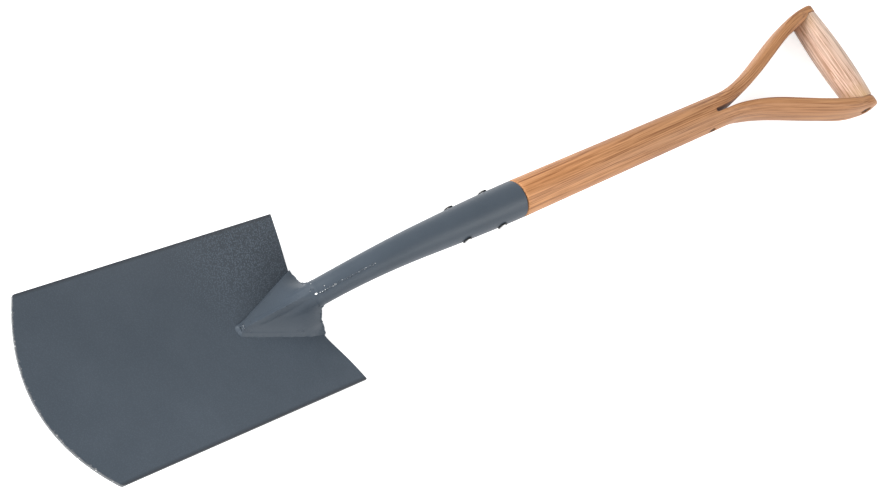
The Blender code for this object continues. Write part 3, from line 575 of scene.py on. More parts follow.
# %% [markdown]
# ## The socket
# A strip of sheet is rolled into a tapered tube that bends forwards at the neck to meet the blade. Its path
# is an arc and then a straight line, and its radius swells slowly from the neck to the top. The tube is swept
# open and Solidify gives it a wall, so its rim shows real thickness round the wood.

# %% The socket and the neck
SOCKET_TOP = 230 * MM
SOCKET_RADIUS = 20 * MM
NECK_RADIUS = 13.4 * MM
SOCKET_WALL = 2 * MM
PRESSED_RIM = 0.5 * MM
NECK_BEND_START = 110 * MM
NECK_BEND_RADIUS = 310 * MM
NECK_BEND_ANGLE = radians(22.9)
NECK_STARTS_AT = NECK_BEND_START - NECK_BEND_RADIUS * NECK_BEND_ANGLE


def socket_radius(distance):
    swelled = ease((distance - NECK_STARTS_AT) / (SOCKET_TOP - NECK_STARTS_AT))
    return mix(NECK_RADIUS, SOCKET_RADIUS, swelled)


def tube_place(distance):
    """The middle of the tube and its slope. Below the bend's start the distance runs on round the arc."""
    angle = max(0, (NECK_BEND_START - distance) / NECK_BEND_RADIUS)
    if angle == 0:
        return along_shaft(distance), SHAFT_RISE
    on_arc = NECK_BEND_START - NECK_BEND_RADIUS * sin(angle)
    middle = along_shaft(on_arc, 0, -NECK_BEND_RADIUS * (1 - cos(angle)))
    return middle, SHAFT_RISE + angle


def on_tube(distance, angle, proud=0.0):
    """A point of the tube's outer face, raised by some amount."""
    middle, slope = tube_place(distance)
    reach = socket_radius(distance) + proud
    return middle + Vector((sin(angle), -cos(angle) * sin(slope), cos(angle) * cos(slope))) * reach


def make_socket():
    work = sweep(96, evenly(NECK_STARTS_AT, SOCKET_TOP, 90), on_tube, close=False)
    finish_piece("socket_tube", work, COAT, ["socket"], SOCKET_WALL, PRESSED_RIM)


make_socket()

# %% [markdown]
# ## The lug
# The lug is a second pressed sheet: a tent that grows out of the neck and runs down the blade to a point,
# with a narrow rounded rib along its top and a crease on each side of the rib. Near the point its section is
# a plain tent with hollow flanks; near the neck it turns into the saddle that wraps the tube. Again a grid is
# moved into place: its rows run from the point up to the shoulder, its columns from one edge over the rib to
# the other. The real one was welded on by eye, a few millimetres off the middle at the shoulder, so its
# flanks drift to one side, while the saddle stays on the tube.

# %% The lug's edge, ridge and rib
SEAT_GAP = 0.3 * MM
LUG_SHEET = 2 * MM
LUG_SEAT = 2.42 * MM  # outer face of its edge over the blade
LUG_LENGTH = 86 * MM
LUG_HALF_WIDTH = 36 * MM
LUG_POINT_HALF_WIDTH = 3.4 * MM
LUG_DRIFT = -2.8 * MM
RIDGE_POINT_RADIUS = 3.4 * MM
RIDGE_POINT_HEIGHT = 0.8 * MM
RIDGE_SWELL = 1.6  # how late the ridge widens towards the neck
RIB_HALF_WIDTH = 4.4 * MM
RIB_POINT_SHARE = 0.32  # of its width, at the lug's point
RIB_HEIGHT = 1.1 * MM
RIB_RISE_BY = 0.3
RIB_FADES_FROM = 0.75
RIB_ROUNDNESS = 0.62
RIB_COLUMNS = 6
FLANK_COLUMNS = 24
RIB_SHARE = RIB_COLUMNS / (RIB_COLUMNS + FLANK_COLUMNS)


def lug_half_width(t):
    return mix(LUG_POINT_HALF_WIDTH, LUG_HALF_WIDTH, t)


def lug_edge(t):
    """A point of the lug's edge, on its outer face. t runs from its point to the neck."""
    x = lug_half_width(t)
    y = BLADE_LENGTH - LUG_LENGTH * (1 - t)
    return Vector((x, y, dish_height(x, y) + LUG_SEAT))


def lug_spine(t):
    """The middle of the ridge, its radius and the direction that it faces."""
    neck, slope = tube_place(NECK_STARTS_AT)
    neck -= Vector((0, cos(slope), sin(slope))) * SEAT_GAP
    point = Vector((0, BLADE_LENGTH - LUG_LENGTH + RIDGE_POINT_RADIUS, RIDGE_POINT_HEIGHT))
    lean = slope * t * t
    radius = mix(RIDGE_POINT_RADIUS, NECK_RADIUS, t**RIDGE_SWELL)
    return point.lerp(neck, t), radius, Vector((0, -sin(lean), cos(lean)))


def rib_size(t):
    """Half the rib's width, and its height."""
    risen = ease(t / RIB_RISE_BY)
    left = 1 - ease((t - RIB_FADES_FROM) / (1 - RIB_FADES_FROM))
    return RIB_HALF_WIDTH * mix(RIB_POINT_SHARE, 1, risen), RIB_HEIGHT * risen * left


# %% The lug's section
TENT_HOLLOW = 1.35
SADDLE_FROM = 0.52
SADDLE_ARC = radians(84)
SADDLE_ARC_SHARE = 0.34  # of a flank's columns
FLANGE_SLOPE = 0.12
FLANGE_BEND = (0.17, 0.95, 0.09)  # where the saddle bends out into the flange: share across, down and up
FLANK_FILLED = 1.1  # how fast the hollow beside the tube fills, going down from the neck


def tent_point(t, x):
    """The section near the point: a tent with hollow flanks, from the rib down to the edge."""
    middle, radius, out = lug_spine(t)
    top = middle + out * (radius - rib_size(t)[1])
    edge = lug_edge(t)
    share = 1 - (1 - min(1, x / edge.x)) ** TENT_HOLLOW
    return Vector((x, mix(top.y, edge.y, share), mix(top.z, edge.z, share)))


def saddle_point(t, angle, down):
    """The section at the neck: round the tube up to its widest, then down a hollow curve to the flange."""
    middle, radius, out = lug_spine(t)
    arc = middle + Vector((radius * sin(angle), 0, 0)) + out * radius * cos(angle)
    edge = lug_edge(t)
    across, along, up = FLANGE_BEND
    filled = FLANK_FILLED * (1 - t)
    bend_x = mix(arc.x, edge.x, across + filled)
    bend_z = mix(edge.z - FLANGE_SLOPE * (edge.x - bend_x), arc.z, min(0.5, up + 1.5 * filled))
    bend = Vector((bend_x, mix(arc.y, edge.y, along), bend_z))
    return arc.lerp(bend, down).lerp(bend.lerp(edge, down), down)


def lug_point(t, column, side=1):
    """A point of the lug's outer face. The column runs from 0 on top of the rib to 1 at the edge."""
    _, radius, out = lug_spine(t)
    rib, height = rib_size(t)
    half_width = lug_half_width(t)
    saddled = ease((t - SADDLE_FROM) / (1 - SADDLE_FROM))
    if column <= RIB_SHARE:
        x = rib * column / RIB_SHARE
        point = tent_point(t, x).lerp(saddle_point(t, asin(x / radius), 0), saddled)
        point += out * height * (1 - (x / rib) ** 2) ** RIB_ROUNDNESS
    else:
        flank = (column - RIB_SHARE) / (1 - RIB_SHARE)
        angle = mix(asin(rib / radius), SADDLE_ARC, min(1, flank / SADDLE_ARC_SHARE))
        down = max(0, (flank - SADDLE_ARC_SHARE) / (1 - SADDLE_ARC_SHARE))
        point = tent_point(t, mix(rib, half_width, flank)).lerp(saddle_point(t, angle, down), saddled)
    share = min(1, max(0, point.x - radius) / max(MM, half_width - radius))
    x = side * point.x + LUG_DRIFT * share * t
    lifted = (dish_height(x, point.y) - dish_height(point.x, point.y)) * share
    return Vector((x, point.y, point.z + lifted))


# %% The lug
def make_lug():
    work = bmesh.new()
    bmesh.ops.create_grid(work, x_segments=2 * (RIB_COLUMNS + FLANK_COLUMNS), y_segments=72, size=1)
    for vertex in work.verts:
        side = -1 if vertex.co.x < 0 else 1
        vertex.co = lug_point((vertex.co.y + 1) / 2, abs(vertex.co.x), side)
    finish_piece("lug_pressing", work, COAT, ["lug"], LUG_SHEET, PRESSED_RIM)


make_lug()

# %% [markdown]
# ## Weld beads
# The blade, lug and socket are joined by hand-laid beads: a smooth fillet round the lug's edge, two lumpy
# ones on the shoulder, a low one round the neck, and a thin seam up the front of the tube. A bead is a swept
# ring whose radius follows a ripple, the little crescents of the welder's hand, and a slower noise for the
# uneven run.

# %% How a bead swells
BEAD_SIDES = 16
BEAD_END = 0.2  # share of its radius that a bead has at its two ends
WANDER_LENGTH = 6 * MM
FLARE_RUN = 1.7  # how far a flare runs along the bead, in its own height


def bead_swell(place, pitch, ripple, wander, seed):
    slow = noise.noise(Vector((place / WANDER_LENGTH, seed, 0)))
    return 1 + ripple * sin(place * 2 * pi / pitch) + wander * slow


def bead(name, finish, path, radius, node, pitch, ripple, wander, seed, flatten=1.0, flare=0.0, taper=2.5):
    """A bead along a path of points with their way out. It is narrow at both ends, and a flare widens it."""
    run = [0.0]
    for (one, _), (other, _) in zip(path, path[1:]):
        run.append(run[-1] + (other - one).length)

    def place(step, angle):
        point, out = path[step]
        before, after = path[max(0, step - 1)][0], path[min(len(path) - 1, step + 1)][0]
        sideways = (after - before).normalized().cross(out).normalized()
        end = min(1, BEAD_END + min(run[step], run[-1] - run[step]) / (taper * radius))
        size = radius * end * bead_swell(run[step], pitch, ripple, wander, seed)
        up = size * flatten
        if flare and cos(angle) > 0:
            up += flare * max(0, 1 - run[step] / (FLARE_RUN * flare)) ** 2
        return point + sideways * size * sin(angle) + out * up * cos(angle)

    work = sweep(BEAD_SIDES, list(range(len(path))), place)
    finish_piece(name, work, finish, [node])


# %% [markdown]
# The beads on the shoulder run along the lug's top edge, in line with its sheet. They are ground nearly flush
# with it, and only a few lumps stand out. Beside the tube they flare into a web that fills the corner with a
# round, much larger on the right than on the left.

# %% The shoulder beads
SHOULDER_BEAD = 1.3 * MM
SHOULDER_BEAD_PROUD = 0.35 * MM
SHOULDER_FLARES = {-1: 1.2 * MM, 1: 3.8 * MM}
SHOULDER_STARTS = {-1: 0.27, 1: 0.29}  # the share of a flank that is left free beside the tube
SHOULDER_ENDS = 0.975  # of the lug's columns
SHOULDER_UNDER = 0.55  # how deep in the lug's sheet its middle lies


def shoulder_path(side):
    path = []
    for column in evenly(mix(RIB_SHARE, 1, SHOULDER_STARTS[side]), SHOULDER_ENDS, 90):
        point = lug_point(1, column, side)
        ahead = (point - lug_point(0.98, column, side)).normalized()
        inwards = (lug_point(1, column - 0.02, side) - point).normalized() * side
        under = ahead.cross(inwards) * LUG_SHEET * SHOULDER_UNDER
        path.append((point + ahead * SHOULDER_BEAD_PROUD - under, ahead))
    return path


for side, word in SIDES:
    bead(f"shoulder_bead_{word}", COAT, shoulder_path(side), SHOULDER_BEAD, f"shoulder_weld_{word}",
         pitch=4.1 * MM, ripple=0.10, wander=0.85, seed=3.7 * side, flare=SHOULDER_FLARES[side], taper=5)

# %% [markdown]
# The bead round the neck was ground down to a low wide band that hides the joint between lug and socket; only
# its lumps show. The seam bead climbs the front of the tube, a little to one side, where the rolled edges
# meet, and fades out halfway up the bend.

# %% The neck bead and the seam bead
NECK_BEAD = 4.2 * MM
NECK_BEAD_SUNK = -0.42 * MM
NECK_BEAD_TURNS = evenly(-radians(150), radians(150), 120)
SEAM_BEAD = 0.75 * MM
SEAM_SUNK = -0.25 * MM
SEAM_AROUND = radians(18)
SEAM_PLACES = evenly(NECK_STARTS_AT + 1 * MM, NECK_STARTS_AT + 62 * MM, 150)


def tube_path(stations):
    """Places on the tube with their way out, for (distance, angle, proud) stations."""
    path = []
    for distance, angle, proud in stations:
        point = on_tube(distance, angle, proud)
        path.append((point, (point - tube_place(distance)[0]).normalized()))
    return path


round_neck = tube_path((NECK_STARTS_AT, turn, NECK_BEAD_SUNK) for turn in NECK_BEAD_TURNS)
bead("neck_bead", COAT, round_neck, NECK_BEAD, "neck_weld",
     pitch=7.3 * MM, ripple=0.04, wander=0.20, seed=1.3, flatten=0.155)
up_seam = tube_path((distance, SEAM_AROUND, SEAM_SUNK) for distance in SEAM_PLACES)
bead("seam_bead", WELD_COAT, up_seam, SEAM_BEAD, "seam_weld",
     pitch=1.9 * MM, ripple=0.30, wander=0.6, seed=5.1, flatten=0.7)

# %% [markdown]
# Welding throws small drops that freeze on the steel, and the coat goes over them. The photograph shows them
# as bright points along the seam, round the neck and at the lug's point, and a larger bare pair where the
# seam starts. Each is a small ball set half into the face that carries it. A lump of weld closes the lug's
# point.

# %% Weld drops
SEAM_DROPS = 34
SEAM_DROP_STEP = 1.75 * MM
SEAM_DROP_SPREAD = radians(7)
SEAM_DROP_SIZE, SEAM_DROP_VARIES = 0.55, 0.30  # millimetres
SEAM_DROP_PROUD = 0.15 * MM
BARE_DROP_PROUD = 0.25 * MM
LUG_DROPS = (  # t along the lug, column across it, side and radius in millimetres
    (0.985, 0.16, 1, 0.8), (0.96, 0.20, 1, 0.6), (0.97, 0.10, -1, 0.7), (0.94, 0.16, -1, 0.6),
    (0.99, 0.28, -1, 0.8), (0.92, 0.07, -1, 0.5), (0.90, 0.30, -1, 0.6), (0.43, 0.17, 1, 0.6),
    (0.45, 0.14, 1, 0.5), (0.47, 0.20, 1, 0.6), (0.66, 0.93, 1, 0.6), (0.69, 0.95, 1, 0.5),
    (0.73, 0.94, 1, 0.7), (0.03, 0.35, -1, 0.7), (0.05, 0.60, 1, 0.6), (0.01, 0.15, 1, 0.8),
    (0.06, 0.85, -1, 0.7), (0.10, 0.75, 1, 0.5), (0.13, 0.30, -1, 0.5), (0.08, 0.12, 1, 0.5),
    (1.0, 0.66, -1, 1.2), (1.0, 0.54, -1, 1.0), (1.0, 0.80, 1, 1.3), (1.0, 0.90, 1, 1.1),
)
BARE_LUG_DROPS = ((0.972, 0.15, 1, 1.15), (0.986, 0.15, 1, 1.0))
BARE_TUBE_DROPS = (  # millimetres past the neck, degrees round the tube and radius in millimetres
    (2.2, 16, 0.40), (4.6, 18, 0.35), (7.4, 17, 0.5), (9.2, 19, 0.4), (12.4, 18, 0.4), (15.8, 20, 0.35),
    (19.0, 18, 0.35), (8.6, 2, 0.45),
)


def add_drop(work, point, radius):
    made = bmesh.ops.create_uvsphere(work, u_segments=12, v_segments=8, radius=radius * MM)["verts"]
    bmesh.ops.translate(work, verts=made, vec=point)


def add_lug_drops(work, drops):
    for t, column, side, radius in drops:
        add_drop(work, lug_point(t, column, side), radius)


def coated_drops():
    work = bmesh.new()
    for step in range(SEAM_DROPS):
        spread = noise.noise(Vector((step * 1.7, 2.3, 0)))
        distance = NECK_STARTS_AT + (2 + spread) * MM + step * SEAM_DROP_STEP
        around = SEAM_AROUND + SEAM_DROP_SPREAD * spread
        radius = SEAM_DROP_SIZE + SEAM_DROP_VARIES * noise.noise(Vector((step * 2.9, 7.1, 0)))
        add_drop(work, on_tube(distance, around, SEAM_DROP_PROUD), radius)
    add_lug_drops(work, LUG_DROPS)
    finish_piece("weld_drops", work, WELD_COAT, [])


def bare_drops():
    work = bmesh.new()
    add_lug_drops(work, BARE_LUG_DROPS)
    for ahead, around, radius in BARE_TUBE_DROPS:
        add_drop(work, on_tube(NECK_STARTS_AT + ahead * MM, radians(around), BARE_DROP_PROUD), radius)
    finish_piece("bare_weld_drops", work, DROP_STEEL, [])


coated_drops()
bare_drops()

# %% The lump at the lug's point
POINT_BEAD = (3.9 * MM, 3.9 * MM, 4.1 * MM)  # half its size
POINT_BEAD_UP = 1.6 * MM  # its middle, up the blade from the lug's point
POINT_BEAD_HEIGHT = 0.4 * MM  # its middle above the blade
POINT_BEAD_UNDER = -1.2 * MM  # its underside is flat, inside the blade's sheet
POINT_BEAD_LUMPS = 0.20


def point_bead():
    work = bmesh.new()
    place = lug_point(0, 0)
    across, along, up = POINT_BEAD
    made = bmesh.ops.create_uvsphere(work, u_segments=32, v_segments=20, radius=1)["verts"]
    for vertex in made:
        x, y, z = vertex.co * (1 + POINT_BEAD_LUMPS * noise.noise(vertex.co * 2.3))
        height = POINT_BEAD_HEIGHT + max(POINT_BEAD_UNDER, up * z)
        vertex.co = (place.x + across * x, place.y + POINT_BEAD_UP + along * y, height)
    finish_piece("point_bead", work, COAT, [])


point_bead()

# %% [markdown]
# The fillet round the lug's edge fills the corner between its sheet and the blade and is smoothed over both,
# so that no line shows where one ends. Its ring isn't round: it rises from the blade in a soft step and runs
# on a little way over the lug's own face.

# %% The line of the lug's edge
def half_outline(side):
    """Places on the lug's edge, each with its way out, its t along the lug and its side."""
    slope_out = Vector((side * LUG_LENGTH, -(LUG_HALF_WIDTH - LUG_POINT_HALF_WIDTH), 0)).normalized()
    corner = lug_point(0, 1, side)
    places = []
    for turn in evenly(0, 1, 10)[:-1]:
        place = Vector((mix(0, corner.x, turn), corner.y, 0))
        places.append((place, Vector((0, -1, 0)).slerp(slope_out, turn * turn), 0, side))
    for t in evenly(0, 1, 120):
        edge = lug_point(t, 1, side)
        places.append((Vector((edge.x, edge.y, 0)), slope_out, t, side))
    return places


# %% The section of the fillet
FILLET_LEGS = (0.45 * MM, 3.4 * MM)  # left of the point and right of it
FILLET_LEGS_MEET_IN = 16 * MM  # the run across the point in which one leg turns into the other
FILLET_AT_POINT = 3.0 * MM
FILLET_POINT_REACH = 9 * MM
FILLET_THINS_FROM = 0.80  # t along the lug
FILLET_THINNED = 0.6
FILLET_SLANT = 1.1  # the edge's own length for a length up the blade
FILLET_TOE = 0.62  # the share of its ring's front that climbs from the blade to the lug's edge
FILLET_OVER = 0.10  # how far it runs over the lug, as a share of its columns
FILLET_LAP = 0.04 * MM  # it starts this much over the lug's face, and ends as much under it
FILLET_INSIDE = -1.5 * MM  # how far in it runs at the lug's point
FILLET_UNDER = -1.2 * MM  # how far in its underside runs
FILLET_LIFT = 0.02 * MM  # above the blade


def fillet_leg(point, t):
    leg = mix(*FILLET_LEGS, ease(0.5 + point.x / FILLET_LEGS_MEET_IN))
    leg = mix(leg, FILLET_AT_POINT, ease(1 - abs(point.x) / FILLET_POINT_REACH))
    leg *= 1 - FILLET_THINNED * ease((t - FILLET_THINS_FROM) / (1 - FILLET_THINS_FROM))
    seed = 8.2 if point.x > 0 else 2.9
    return leg * bead_swell(point.y * FILLET_SLANT, pitch=3.1 * MM, ripple=0.04, wander=0.30, seed=seed)


def fillet_point(station, angle):
    """The ring climbs from the blade to the lug's edge, runs over its face, and goes back underneath."""
    point, out, t, side = station
    leg = fillet_leg(point, t)
    share = angle / pi
    over = (share - FILLET_TOE) / (1 - FILLET_TOE)
    if over < 0:
        climbed = share / FILLET_TOE
        across, up = leg * (1 - climbed), LUG_SEAT * climbed**1.1
    elif share < 1 and t > 0:
        lift = mix(FILLET_LAP, -FILLET_LAP, over)
        return lug_point(t, 1 - FILLET_OVER * over, side) + Vector((0, 0, lift))
    elif share < 1:
        across, up = FILLET_INSIDE * over, LUG_SEAT
    else:
        across, up = mix(FILLET_UNDER, leg, share - 1), 0
    spot = point + out * across
    return Vector((spot.x, spot.y, dish_height(spot.x, spot.y) + up + FILLET_LIFT))


# %% The fillet round the lug
def make_fillet():
    outline = list(reversed(half_outline(-1)[1:])) + half_outline(1)
    work = sweep(28, outline, fillet_point)
    finish_piece("lug_fillet", work, COAT, ["lug_weld"])


make_fillet()

# %% [markdown]
# ## The shaft and its arms
# The shaft is turned from ash, with a tenon that fills the socket, and a stem that tapers to the fork. There
# it is sawn in two, and the halves are steamed apart into arms. The shape follows that story: a ring is swept
# up to the fork, the end face is cut in two down its middle, and each half is extruded on along its arm. The
# saw ran in a little off the middle, so the split starts nearer one side and comes back to the middle.

# %% How the arms spread
STEM_RADIUS = 20.1 * MM
FORK_RADIUS = 18.5 * MM
FORK_AT = 510 * MM
TENON_END = 122 * MM
ARM_HALF_THICKNESS = 8 * MM
ARM_INNER_AT_FORK = 7.0 * MM
ARM_INNER_FULL_FROM = 45 * MM  # above the fork, where the inner side starts to fill out
ARM_INNER_FULL_IN = 60 * MM
ARM_END_HALF_THICKNESS = 7.2 * MM
ARM_HALF_DEPTH = 18.8 * MM
ARM_START_OFFSET = 9.3 * MM
ARM_SPREAD = 63.5 * MM
ARM_BEND_START = 528 * MM
ARM_BEND_LENGTH = 200 * MM
SPLIT_DRIFT = 3.2 * MM  # how far off the middle the saw ran in
SPLIT_DRIFT_GONE = 90 * MM  # above the fork


def arm_middle(distance):
    return mix(ARM_START_OFFSET, ARM_SPREAD, ease((distance - ARM_BEND_START) / ARM_BEND_LENGTH))


def arm_lean(distance):
    return atan((arm_middle(distance + MM) - arm_middle(distance - MM)) / (2 * MM))


def signed_power(value, exponent):
    return abs(value) ** exponent * (1 if value >= 0 else -1)


def arm_half_thickness(distance):
    return mix(ARM_HALF_THICKNESS, ARM_END_HALF_THICKNESS, (distance - FORK_AT) / (GRIP_AT - FORK_AT))


def arm_inner(distance):
    """From the middle of an arm to its inner face, which is cut back where the arms part."""
    filled = ease((distance - FORK_AT - ARM_INNER_FULL_FROM) / ARM_INNER_FULL_IN)
    return mix(ARM_INNER_AT_FORK, arm_half_thickness(distance), filled)


def split_drift(distance):
    """How far the saw cut lies off the middle plane, towards +X."""
    return SPLIT_DRIFT * (1 - ease((distance - FORK_AT) / SPLIT_DRIFT_GONE))


steepest = arm_lean(ARM_BEND_START + ARM_BEND_LENGTH / 2)
print("an arm leans out by up to", round(steepest * 180 / pi, 1), "degrees")

# %% A point of an arm
CROTCH_RADIUS = 2.3 * MM
ARM_SHAPED_BY = 50 * MM
ARM_ROUNDED_IN = 60 * MM
OUTER_ROUNDNESS = (2.4, 5.0)  # exponents of the arm's outer side, at the fork and beside the grip
INNER_ROUNDNESS = (6, 3.2)


def half_of_stem(distance, side, angle):
    """A point of half of the round stem, cut back from the saw's plane by the round bottom of the split."""
    into = min(1, (distance - FORK_AT) / CROTCH_RADIUS)
    parted = CROTCH_RADIUS * sin(acos(1 - into)) + side * split_drift(distance)
    corner = asin(parted / FORK_RADIUS)
    if sin(angle) < 0:
        return along_shaft(distance, parted, FORK_RADIUS * cos(corner) * cos(angle))
    angle = mix(corner, pi - corner, angle / pi)
    return along_shaft(distance, FORK_RADIUS * sin(angle), FORK_RADIUS * cos(angle))


def arm_point(distance, side, angle, half_depth, inset):
    """A point of an arm. The angle runs from the front round the outer side, and back up the inner side."""
    shaped = ease((distance - FORK_AT) / ARM_SHAPED_BY)
    rounded = ease((distance - GRIP_AT) / ARM_ROUNDED_IN + 1)
    lean = arm_lean(distance)
    outside = sin(angle) > 0
    power = 2 / mix(*(OUTER_ROUNDNESS if outside else INNER_ROUNDNESS), rounded)
    inner = arm_inner(distance) - side * split_drift(distance)
    reach = arm_half_thickness(distance) if outside else inner
    out = (reach - inset) * signed_power(sin(angle), power)
    depth = half_depth * signed_power(cos(angle), power)
    own = along_shaft(distance - out * sin(lean), arm_middle(distance) + out * cos(lean), depth)
    point = half_of_stem(distance, side, angle).lerp(own, shaped)
    return Vector((side * point.x, point.y, point.z))


# %% Stations of the stem and of an arm
SHAFT_SHOULDER = SOCKET_TOP + 4 * SEAT_GAP  # where the wood steps out over the socket's rim
SHOULDER_CHAMFER = ((0, 1.0 * MM), (0.5 * MM, 0.35 * MM), (1.3 * MM, 0))  # how far on, how much smaller
ARM_FLUSH_IN = 24 * MM  # length in which an arm's depth comes down to the grip's
ARM_END_RADIUS = 16.2 * MM
ARM_END_SWEEP = radians(78)
ARM_END_ROUND = 1.0 * MM


def stem_stations():
    """Distance and radius of each ring, from the tenon's end to the fork."""
    stations = []
    for distance in evenly(TENON_END, SOCKET_TOP, 8):
        stations.append((distance, socket_radius(distance) - SOCKET_WALL - SEAT_GAP))
    stations.append((SHAFT_SHOULDER, stations[-1][1]))
    for ahead, short in SHOULDER_CHAMFER:
        stations.append((SHAFT_SHOULDER + ahead, STEM_RADIUS - short))
    for distance in evenly(stations[-1][0], FORK_AT, 60)[1:]:
        tapered = (distance - SOCKET_TOP) / (FORK_AT - SOCKET_TOP)
        stations.append((distance, mix(STEM_RADIUS, FORK_RADIUS, tapered)))
    return stations


def arm_stations():
    """Distance, half depth and inset of each section. The end is rounded about the grip."""
    stations = []
    for turn in evenly(0, pi / 2, 8)[1:]:
        stations.append((FORK_AT + CROTCH_RADIUS * (1 - cos(turn)), ARM_HALF_DEPTH, 0.0))
    for distance in evenly(FORK_AT + CROTCH_RADIUS, GRIP_AT, 80)[1:]:
        flush = ease((distance - GRIP_AT) / ARM_FLUSH_IN + 1)
        stations.append((distance, mix(ARM_HALF_DEPTH, ARM_END_RADIUS, flush), 0.0))
    for done in evenly(0, 1, 16)[1:]:
        turn = ARM_END_SWEEP * done
        inset = ARM_END_ROUND * (1 - cos(pi / 2 * max(0, 2 * done - 1)))
        stations.append((GRIP_AT + ARM_END_RADIUS * sin(turn), ARM_END_RADIUS * cos(turn), inset))
    return stations


# %% Sweep the stem and extrude the arms
SHAFT_SIDES = 64


def flat_ends(work):
    """The faces across the shaft, in order towards the grip."""
    caps = [face for face in work.faces if len(face.verts) == SHAFT_SIDES]
    return sorted(caps, key=lambda face: face.calc_center_median().y)


def split_end(work):
    """Cuts the face at the top of the stem in two, from its front to its back, and returns the halves."""
    around = work.verts.layers.float["around"]
    end = flat_ends(work)[-1]
    for vertex in end.verts:
        vertex[around] = min(vertex[around], 2 * pi - vertex[around])
    by_angle = sorted(end.verts, key=lambda vertex: vertex[around])
    cut = bmesh.ops.connect_verts(work, verts=[by_angle[0], by_angle[-1]])["edges"]
    half = SHAFT_SIDES // 2
    bmesh.ops.subdivide_edges(work, edges=cut, cuts=half - 1)
    around = work.verts.layers.float["around"]
    halves = sorted(flat_ends(work)[-2:], key=lambda face: face.calc_center_median().x)
    shared = set(halves[0].verts) & set(halves[1].verts)
    inner = sorted(shared, key=lambda vertex: -vertex.co.z)[1:-1]
    for k, vertex in enumerate(inner):
        vertex[around] = 2 * pi - pi * (k + 1) / half
        vertex.co = along_shaft(FORK_AT, split_drift(FORK_AT), FORK_RADIUS * cos(vertex[around]))
    return halves, around


def sweep_shaft():
    def ring(station, angle):
        distance, radius = station
        return along_shaft(distance, radius * sin(angle), radius * cos(angle))

    work = sweep(SHAFT_SIDES, stem_stations(), ring)
    halves, around = split_end(work)
    for side, face in zip((-1, 1), halves):
        for distance, half_depth, inset in arm_stations():
            face = bmesh.ops.extrude_discrete_faces(work, faces=[face])["faces"][0]
            for vertex in face.verts:
                vertex.co = arm_point(distance, side, vertex[around], half_depth, inset)
    bmesh.ops.recalc_face_normals(work, faces=work.faces)
    print("the shaft has", len(work.faces), "faces, with arms", round(2 * ARM_SPREAD / MM, 1), "mm apart")
    return work


# %% [markdown]
# ## Turned shapes
# The grip, the rivets, the rod and their washers are turned, and so are the drills and counterbores that seat
# them. A profile of radius and height is spun a full turn about Z. A matrix then lays the turned shape across
# the shaft.

# %% A helper that turns a profile
def turned(profile, steps=48, closed=False):
    work = bmesh.new()
    points = [work.verts.new((radius, 0, height)) for radius, height in profile]
    pairs = list(zip(points, points[1:]))
    if closed:
        pairs.append((points[-1], points[0]))
    edges = [work.edges.new(pair) for pair in pairs]
    bmesh.ops.spin(work, geom=points + edges, axis=(0, 0, 1), cent=(0, 0, 0), steps=steps, angle=2 * pi,
                   use_merge=True, use_duplicate=False)
    bmesh.ops.remove_doubles(work, verts=work.verts, dist=1e-6)
    bmesh.ops.recalc_face_normals(work, faces=work.faces)
    return work


def mirrored(half):
    """The other half of a profile, in the order that goes before it."""
    return [(radius, -height) for radius, height in reversed(half)]


def lay_across(work, distance, side=1, out=0.0):
    """Lays a turned shape, whose axis is Z, across the shaft, pointing to one side and moved out to it."""
    lean = Matrix.Rotation(SHAFT_RISE, 4, "X")
    turn = Matrix.Translation(along_shaft(distance)) @ lean @ Matrix.Rotation(side * pi / 2, 4, "Y")
    bmesh.ops.transform(work, matrix=turn @ Matrix.Translation((0, 0, out)), verts=work.verts)


# %% [markdown]
# ## Seats in the wood
# Two steel pins cross the wood: a rivet just below the fork, which stops the split from running on, and a rod
# through both arms and the grip. Each has its washers in counterbores, and the grip's ends are let into the
# arms, deeper into the left one. One stepped drill for each pin, as wide as each seat needs at each depth,
# cuts all of that with a Boolean, the way a stepped bit would.

# %% Sizes of the seats
ROD_RADIUS = 2.5 * MM
ROD_WASHER_RADIUS = 6.2 * MM
FORK_RIVET_AT = FORK_AT - 7 * MM
FORK_RIVET_RADIUS = 2 * MM
FORK_WASHER_RADIUS = 5 * MM
PIN_SINK = 3.6 * MM  # depth of a washer's seat
GRIP_END_RADIUS = 16 * MM
GRIP_SEAT_CLEARANCE = 0.7 * MM
GRIP_LET_IN = {-1: 4.8 * MM, 1: 2.2 * MM}  # into the left arm and into the right one
GRIP_TENON_RADIUS = 8 * MM
GRIP_TENON_LENGTH = 5 * MM
INNER_FACE = arm_middle(GRIP_AT) - ARM_END_HALF_THICKNESS
OUTER_FACE = arm_middle(GRIP_AT) + ARM_END_HALF_THICKNESS
DRILLED_PAST = 6 * MM
print("the grip's rod runs between faces", round(2 * OUTER_FACE / MM, 1), "mm apart")


# %% Stepped drills
def drill_half(steps):
    """Half of a stepped drill's profile, from the middle out. A step is a radius and how far out it goes."""
    half = []
    start = 0
    for radius, end in steps:
        half += [(radius, start), (radius, end)]
        start = end
    return half[1:] + [(0, start)]


def stepped_drill(name, distance, left_steps, right_steps):
    work = turned(mirrored(drill_half(left_steps)) + drill_half(right_steps))
    lay_across(work, distance)
    return show(name, mesh_of(name, work))


def rod_steps(side):
    grip_end = INNER_FACE + GRIP_LET_IN[side]
    return [
        (GRIP_END_RADIUS + GRIP_SEAT_CLEARANCE, grip_end),
        (GRIP_TENON_RADIUS + SEAT_GAP, grip_end + GRIP_TENON_LENGTH),
        (ROD_RADIUS + SEAT_GAP, OUTER_FACE - PIN_SINK),
        (ROD_WASHER_RADIUS + SEAT_GAP, OUTER_FACE + DRILLED_PAST),
    ]


